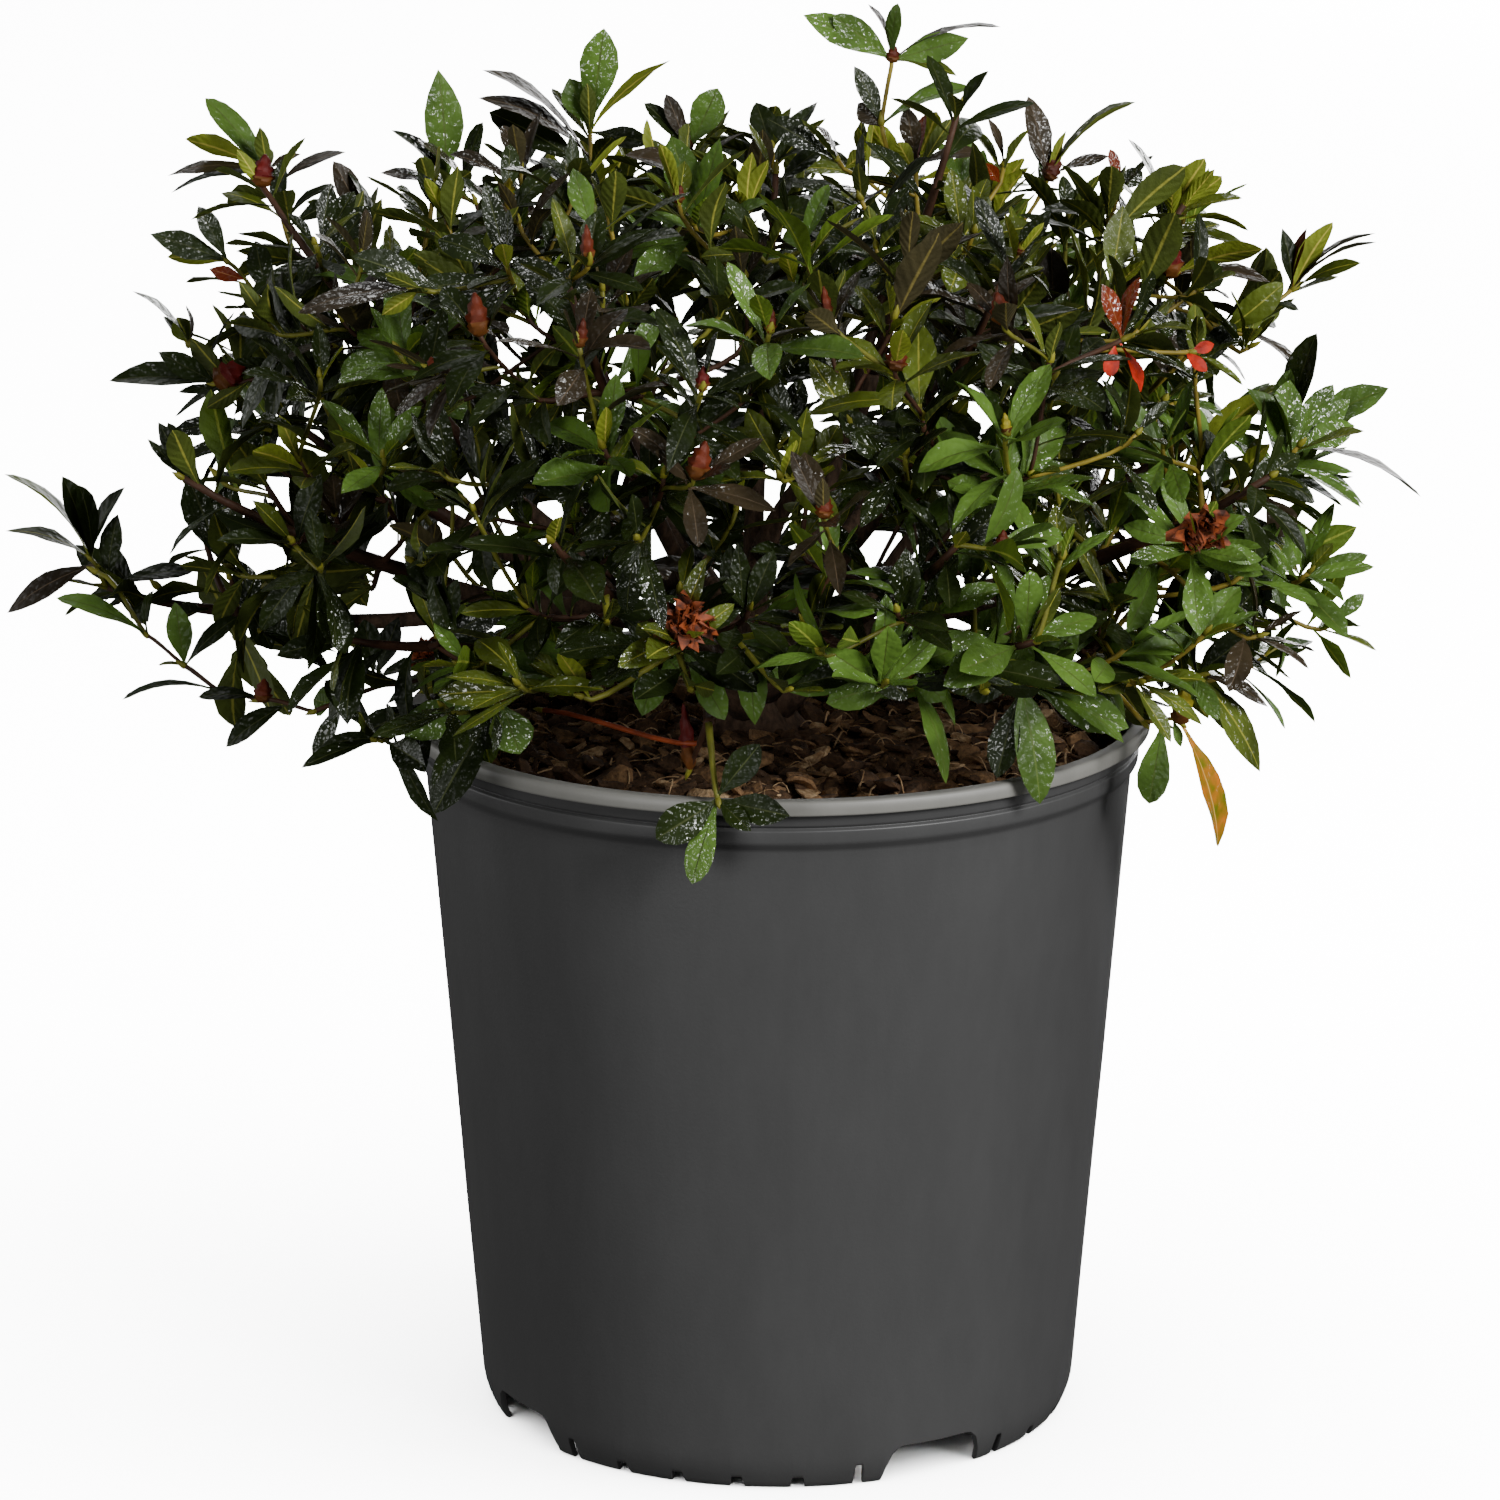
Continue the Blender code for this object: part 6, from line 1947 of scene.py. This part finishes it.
def bud_points(roots, ways, lengths, radii, rings, sides, scales):
    """Pointed buds: straight tubes whose radius follows a sine that is fullest low down. Their scales
    overlap like tiles: of two saw waves that wind round the bud, one each way, the lower counts."""
    share = np.linspace(0, 0.98, rings)
    paths = roots[:, None] + ways[:, None] * (lengths[:, None] * share)[..., None]
    body = np.sin(math.pi * share**0.66) ** 0.85 * 0.93 + 0.07
    wide = radii[:, None] * body
    climb, round_share = share[:, None] * 4, 3 * np.arange(sides) / sides
    tiles = np.minimum((climb + round_share) % 1, (climb - round_share) % 1)
    relief = wide[:, :, None] * scales * (tiles - 0.3)
    return limb_surface(paths, wide, sides, relief=relief)


def crumpled_petals(roots, ways, sizes, rng):
    """Blade rows for faded blooms: short broad petals round each root, most of them bent inwards to
    a ball, all creased and twisted."""
    rows = []
    for root, way, size in zip(roots, ways, sizes):
        aside, other = square_to(way)
        for i in range(PETALS):
            turn = GOLDEN_ANGLE * i + rng.uniform(-0.4, 0.4)
            opening = rng.uniform(0.1, 1.9)
            out = aside * math.cos(turn) + other * math.sin(turn)
            heading_out = unit(way * math.cos(opening) + out * math.sin(opening))
            face = unit(way - heading_out * (way @ heading_out) - out * 0.01)
            blade = np.zeros(BLADE_VALUES)
            blade[ROOT] = root + out * size * 0.1 + way * size * rng.uniform(0.0, 0.75)
            blade[WAY], blade[FACE] = heading_out, face
            loose = rng.random() < LOOSE_PETAL_CHANCE
            bend = rng.uniform(0.4, 1.2) if loose else -rng.uniform(1.2, 2.9)
            blade[SHAPE] = (
                size * rng.uniform(0.55, 0.95) * (0.6 if loose else 1), size * rng.uniform(0.27, 0.42),
                bend, rng.uniform(-0.7, 0.9), rng.uniform(0, 0.6), rng.uniform(0.5, 1.2),
                rng.uniform(0, FULL_TURN), rng.normal(0, 1.0), PETAL_WIDEST, PETAL_BLUNT,
            )
            rows.append(blade)
    return np.array(rows)


class AZALEA_OT_blossom(bpy.types.Operator):
    """Builds the shoot tips, flower buds, faded blooms and torn petals"""

    bl_idname = "azalea.blossom"
    bl_label = "Buds and blooms"

    def execute(self, context):
        settings = context.scene.azalea_blossom
        plant = grown(context)
        rng = np.random.default_rng(SEED + 500)
        ends, ways = (np.array(column) for column in zip(*plant.shoot_ends))
        tips = bud_points(
            ends - ways * MM, ways, rng.uniform(0.003, 0.006, len(ends)),
            rng.uniform(0.0008, 0.0013, len(ends)), TIP_RINGS, TIP_SIDES, TIP_SCALES,
        )
        skin = young_wood("shoot_tip_scales", linear("#7d7a28"), 0.5)
        settle(add_limbs("shoot_tips", tips, TIP_SIDES, [skin]))
        buds, blooms = [], []
        for bud in PHOTO_BUDS:
            root, way = self.placed(bud, ends)
            if bud.kind == "bloom":
                blooms.append((root, way, bud.width * METRES_PER_PIXEL))
            else:
                buds.append((BUD_KINDS.index(bud.kind), root, way, bud.width * METRES_PER_PIXEL))
        hidden = np.flatnonzero((ends[:, 1] > HIDDEN_DEPTH) & (crown_share(ends) > HIDDEN_SHARE))
        low = hidden[ends[hidden, 2] < HIDDEN_BLOOM_HEIGHT]
        with_bud = rng.choice(hidden, HIDDEN_BUDS, replace=False)
        with_bloom = rng.choice(low, HIDDEN_BLOOMS)
        for i in with_bud:
            size = rng.uniform(0.9, 1.5)
            way = ways[i] * settings.bud_length * size
            buds.append((int(rng.integers(0, 2)), ends[i] - ways[i] * MM, way, settings.bud_width * size))
        self.add_buds(buds, settings)
        blooms += [(ends[i], ways[i], rng.uniform(0.008, 0.012)) for i in with_bloom]
        roots, ways_out, widths = (np.array(column) for column in zip(*blooms))
        rows = crumpled_petals(roots, unit(ways_out), widths * BLOOM_SHARE, rng)
        dry = petal("dried_petal", settings.faded, True)
        settle(add_blades("faded_blooms", rows, [dry] * 3, 0.25 * MM))
        fresh = petal("fresh_petal", settings.petal, False)
        settle(add_blades("torn_petals", plant.leaves["petal"], [fresh] * 3, 0.3 * MM))
        return {"FINISHED"}

    def placed(self, bud, ends):
        """The foot of a bud on the shoot that ends nearest to its pixel, and the way to its tip."""
        foot = spot_on_crown(bud.x, bud.y, NEAR_SIDE_SHARE)
        column, row = in_photo(ends)
        off = np.hypot(column - bud.x, row - bud.y) * METRES_PER_PIXEL
        root = ends[np.argmin(off + 0.12 * norm(ends - foot, axis=1))]
        tilt = spot_at_depth(bud.tip_x, bud.tip_y, root[1]) - spot_at_depth(bud.x, bud.y, root[1])
        return root - unit(tilt) * MM, tilt

    def add_buds(self, buds, settings):
        """The buds as one piece: brown scales at the foot, and each bud's own colour above."""
        kinds, roots, tilts, widths = (np.array(column) for column in zip(*buds))
        points = bud_points(
            roots, unit(tilts), norm(tilts, axis=1), widths * BUD_SHARE,
            BUD_RINGS, BUD_SIDES, BUD_SCALES,
        )
        shape = []
        for faces, brown in zip(limb_faces(BUD_RINGS, BUD_SIDES), (FOOT_RINGS * BUD_SIDES, BUD_SIDES)):
            shape.append((faces, np.where(np.arange(len(faces)) >= brown, kinds[:, None] + 1, 0)))
        finishes = [young_wood("bud_foot_scales", settings.bud_foot, 0.55)]
        for kind in BUD_KINDS:
            finishes.append(young_wood(f"{kind}_bud_scales", getattr(settings, "bud_" + kind), 0.6))
        settle(add_copies("flower_buds", points, shape, finishes, sharp_deg=35))


# The stage

FLOOR_HALF = 30.0
SKY_STRENGTH = 0.06

# Soft boxes beside the key light: name, spot, target, side in metres and power in watts

LAMPS = (
    ("top_fill", (0.2, -0.4, 2.5), (0, 0, 0.2), 0.7, 5),
    ("back_sheen", (-0.5, 1.9, 1.9), (0, 0, 0.3), 0.8, 7),
    ("back_fill", (1.1, 3.6, 0.7), (0, 0, 0.2), 2.2, 115),
    ("left_fill", (-2.6, 0.9, 0.5), (0, 0, 0.2), 1.6, 22),
    ("low_fill", (-1.3, -2.1, 0.3), (0, 0, 0.12), 1.0, 29),
    ("side_fill", (2.2, -1.1, 0.75), (0.1, 0, 0.3), 0.8, 22),
)


class AZALEA_OT_stage(bpy.types.Operator):
    """Sets the pale floor, the soft studio light and the camera at the photo's angle"""

    bl_idname = "azalea.stage"
    bl_label = "Stage"

    def execute(self, context):
        settings = context.scene.azalea_stage
        corners = np.array([(-1, -1, 0), (1, -1, 0), (1, 1, 0), (-1, 1, 0)]) * FLOOR_HALF
        paint, _, _ = new_material(
            "matt_studio_paint", Base_Color=(*settings.floor, 1), Roughness=0.9, Specular_IOR_Level=0.1
        )
        floor = add_piece("studio_floor", corners, [(np.array([(0, 1, 2, 3)]), 0)], [paint])
        floor.visible_diffuse = floor.visible_glossy = False
        self.add_light("key", (1.6, -1.8, 1.5), (0, 0, 0.2), 0.8, settings.key_power)
        for lamp in LAMPS:
            self.add_light(*lamp)
        only_floor = bpy.data.collections.new("lit_by_floor_lights")
        only_floor.objects.link(floor)
        glow = self.add_light("floor_glow", (0, 0, 3), (0, 0, 0), 0, 42, "SUN")
        glow.data.angle = math.radians(110)
        side = self.add_light("floor_side", (2.4, -0.6, 2.4), (0, 0.2, 0), 1.6, 420)
        for lamp in (glow, side):
            lamp.light_linking.receiver_collection = only_floor
        world = bpy.data.worlds.new("studio")
        world.use_nodes = True
        background = world.node_tree.nodes["Background"].inputs
        background["Color"].default_value = (1, 1, 1, 1)
        background["Strength"].default_value = SKY_STRENGTH
        context.scene.world = world
        data = bpy.data.cameras.new("photo_camera")
        data.lens = settings.lens
        data.sensor_width = SENSOR_MM
        data.clip_end = 60
        camera = bpy.data.objects.new("photo_camera", data)
        camera.location = CAMERA_SPOT
        camera.rotation_euler = (math.radians(90 - CAMERA_PITCH_DEG), 0, 0)
        context.scene.collection.objects.link(camera)
        context.scene.camera = camera
        return {"FINISHED"}

    def add_light(self, name, spot, target, size, power, kind="AREA"):
        """A square soft box that faces the target, or an even glow from all over the sky."""
        data = bpy.data.lights.new(name, kind)
        if kind == "AREA":
            data.size = size
        data.energy = power
        lamp = bpy.data.objects.new(name, data)
        lamp.location = spot
        direction = Vector(target) - Vector(spot)
        lamp.rotation_euler = direction.to_track_quat("-Z", "Y").to_euler()
        bpy.context.scene.collection.objects.link(lamp)
        return lamp


class AZALEA_PT_panel(bpy.types.Panel):
    """Lists the operators and what a user would change"""

    bl_label = "Potted azalea"
    bl_space_type = "VIEW_3D"
    bl_region_type = "UI"
    bl_category = "Azalea"

    def draw(self, context):
        for operator in OPERATORS:
            self.layout.operator(operator.bl_idname)
        for name, group in SETTINGS.items():
            box = self.layout.box()
            for field in group.__annotations__:
                box.prop(getattr(context.scene, name), field)


SETTINGS = {
    "azalea_pot": PotSettings,
    "azalea_mix": MixSettings,
    "azalea_wood": WoodSettings,
    "azalea_leaves": LeafSettings,
    "azalea_blossom": BlossomSettings,
    "azalea_stage": StageSettings,
}
OPERATORS = (
    AZALEA_OT_stage, AZALEA_OT_pot, AZALEA_OT_potting_mix, AZALEA_OT_wood, AZALEA_OT_twigs,
    AZALEA_OT_leaves, AZALEA_OT_blossom,
)


def register():
    for cls in (*SETTINGS.values(), *OPERATORS, AZALEA_PT_panel):
        bpy.utils.register_class(cls)
    for name, group in SETTINGS.items():
        setattr(bpy.types.Scene, name, PointerProperty(type=group))


def unregister():
    for name in SETTINGS:
        delattr(bpy.types.Scene, name)
    for cls in (AZALEA_PT_panel, *reversed(OPERATORS), *reversed(SETTINGS.values())):
        bpy.utils.unregister_class(cls)


def main():
    register()
    bpy.ops.azalea.stage()
    bpy.ops.azalea.pot()
    bpy.ops.azalea.potting_mix()
    bpy.ops.azalea.wood()
    bpy.ops.azalea.twigs()
    bpy.ops.azalea.leaves()
    bpy.ops.azalea.blossom()


if __name__ == "__main__":
    main()
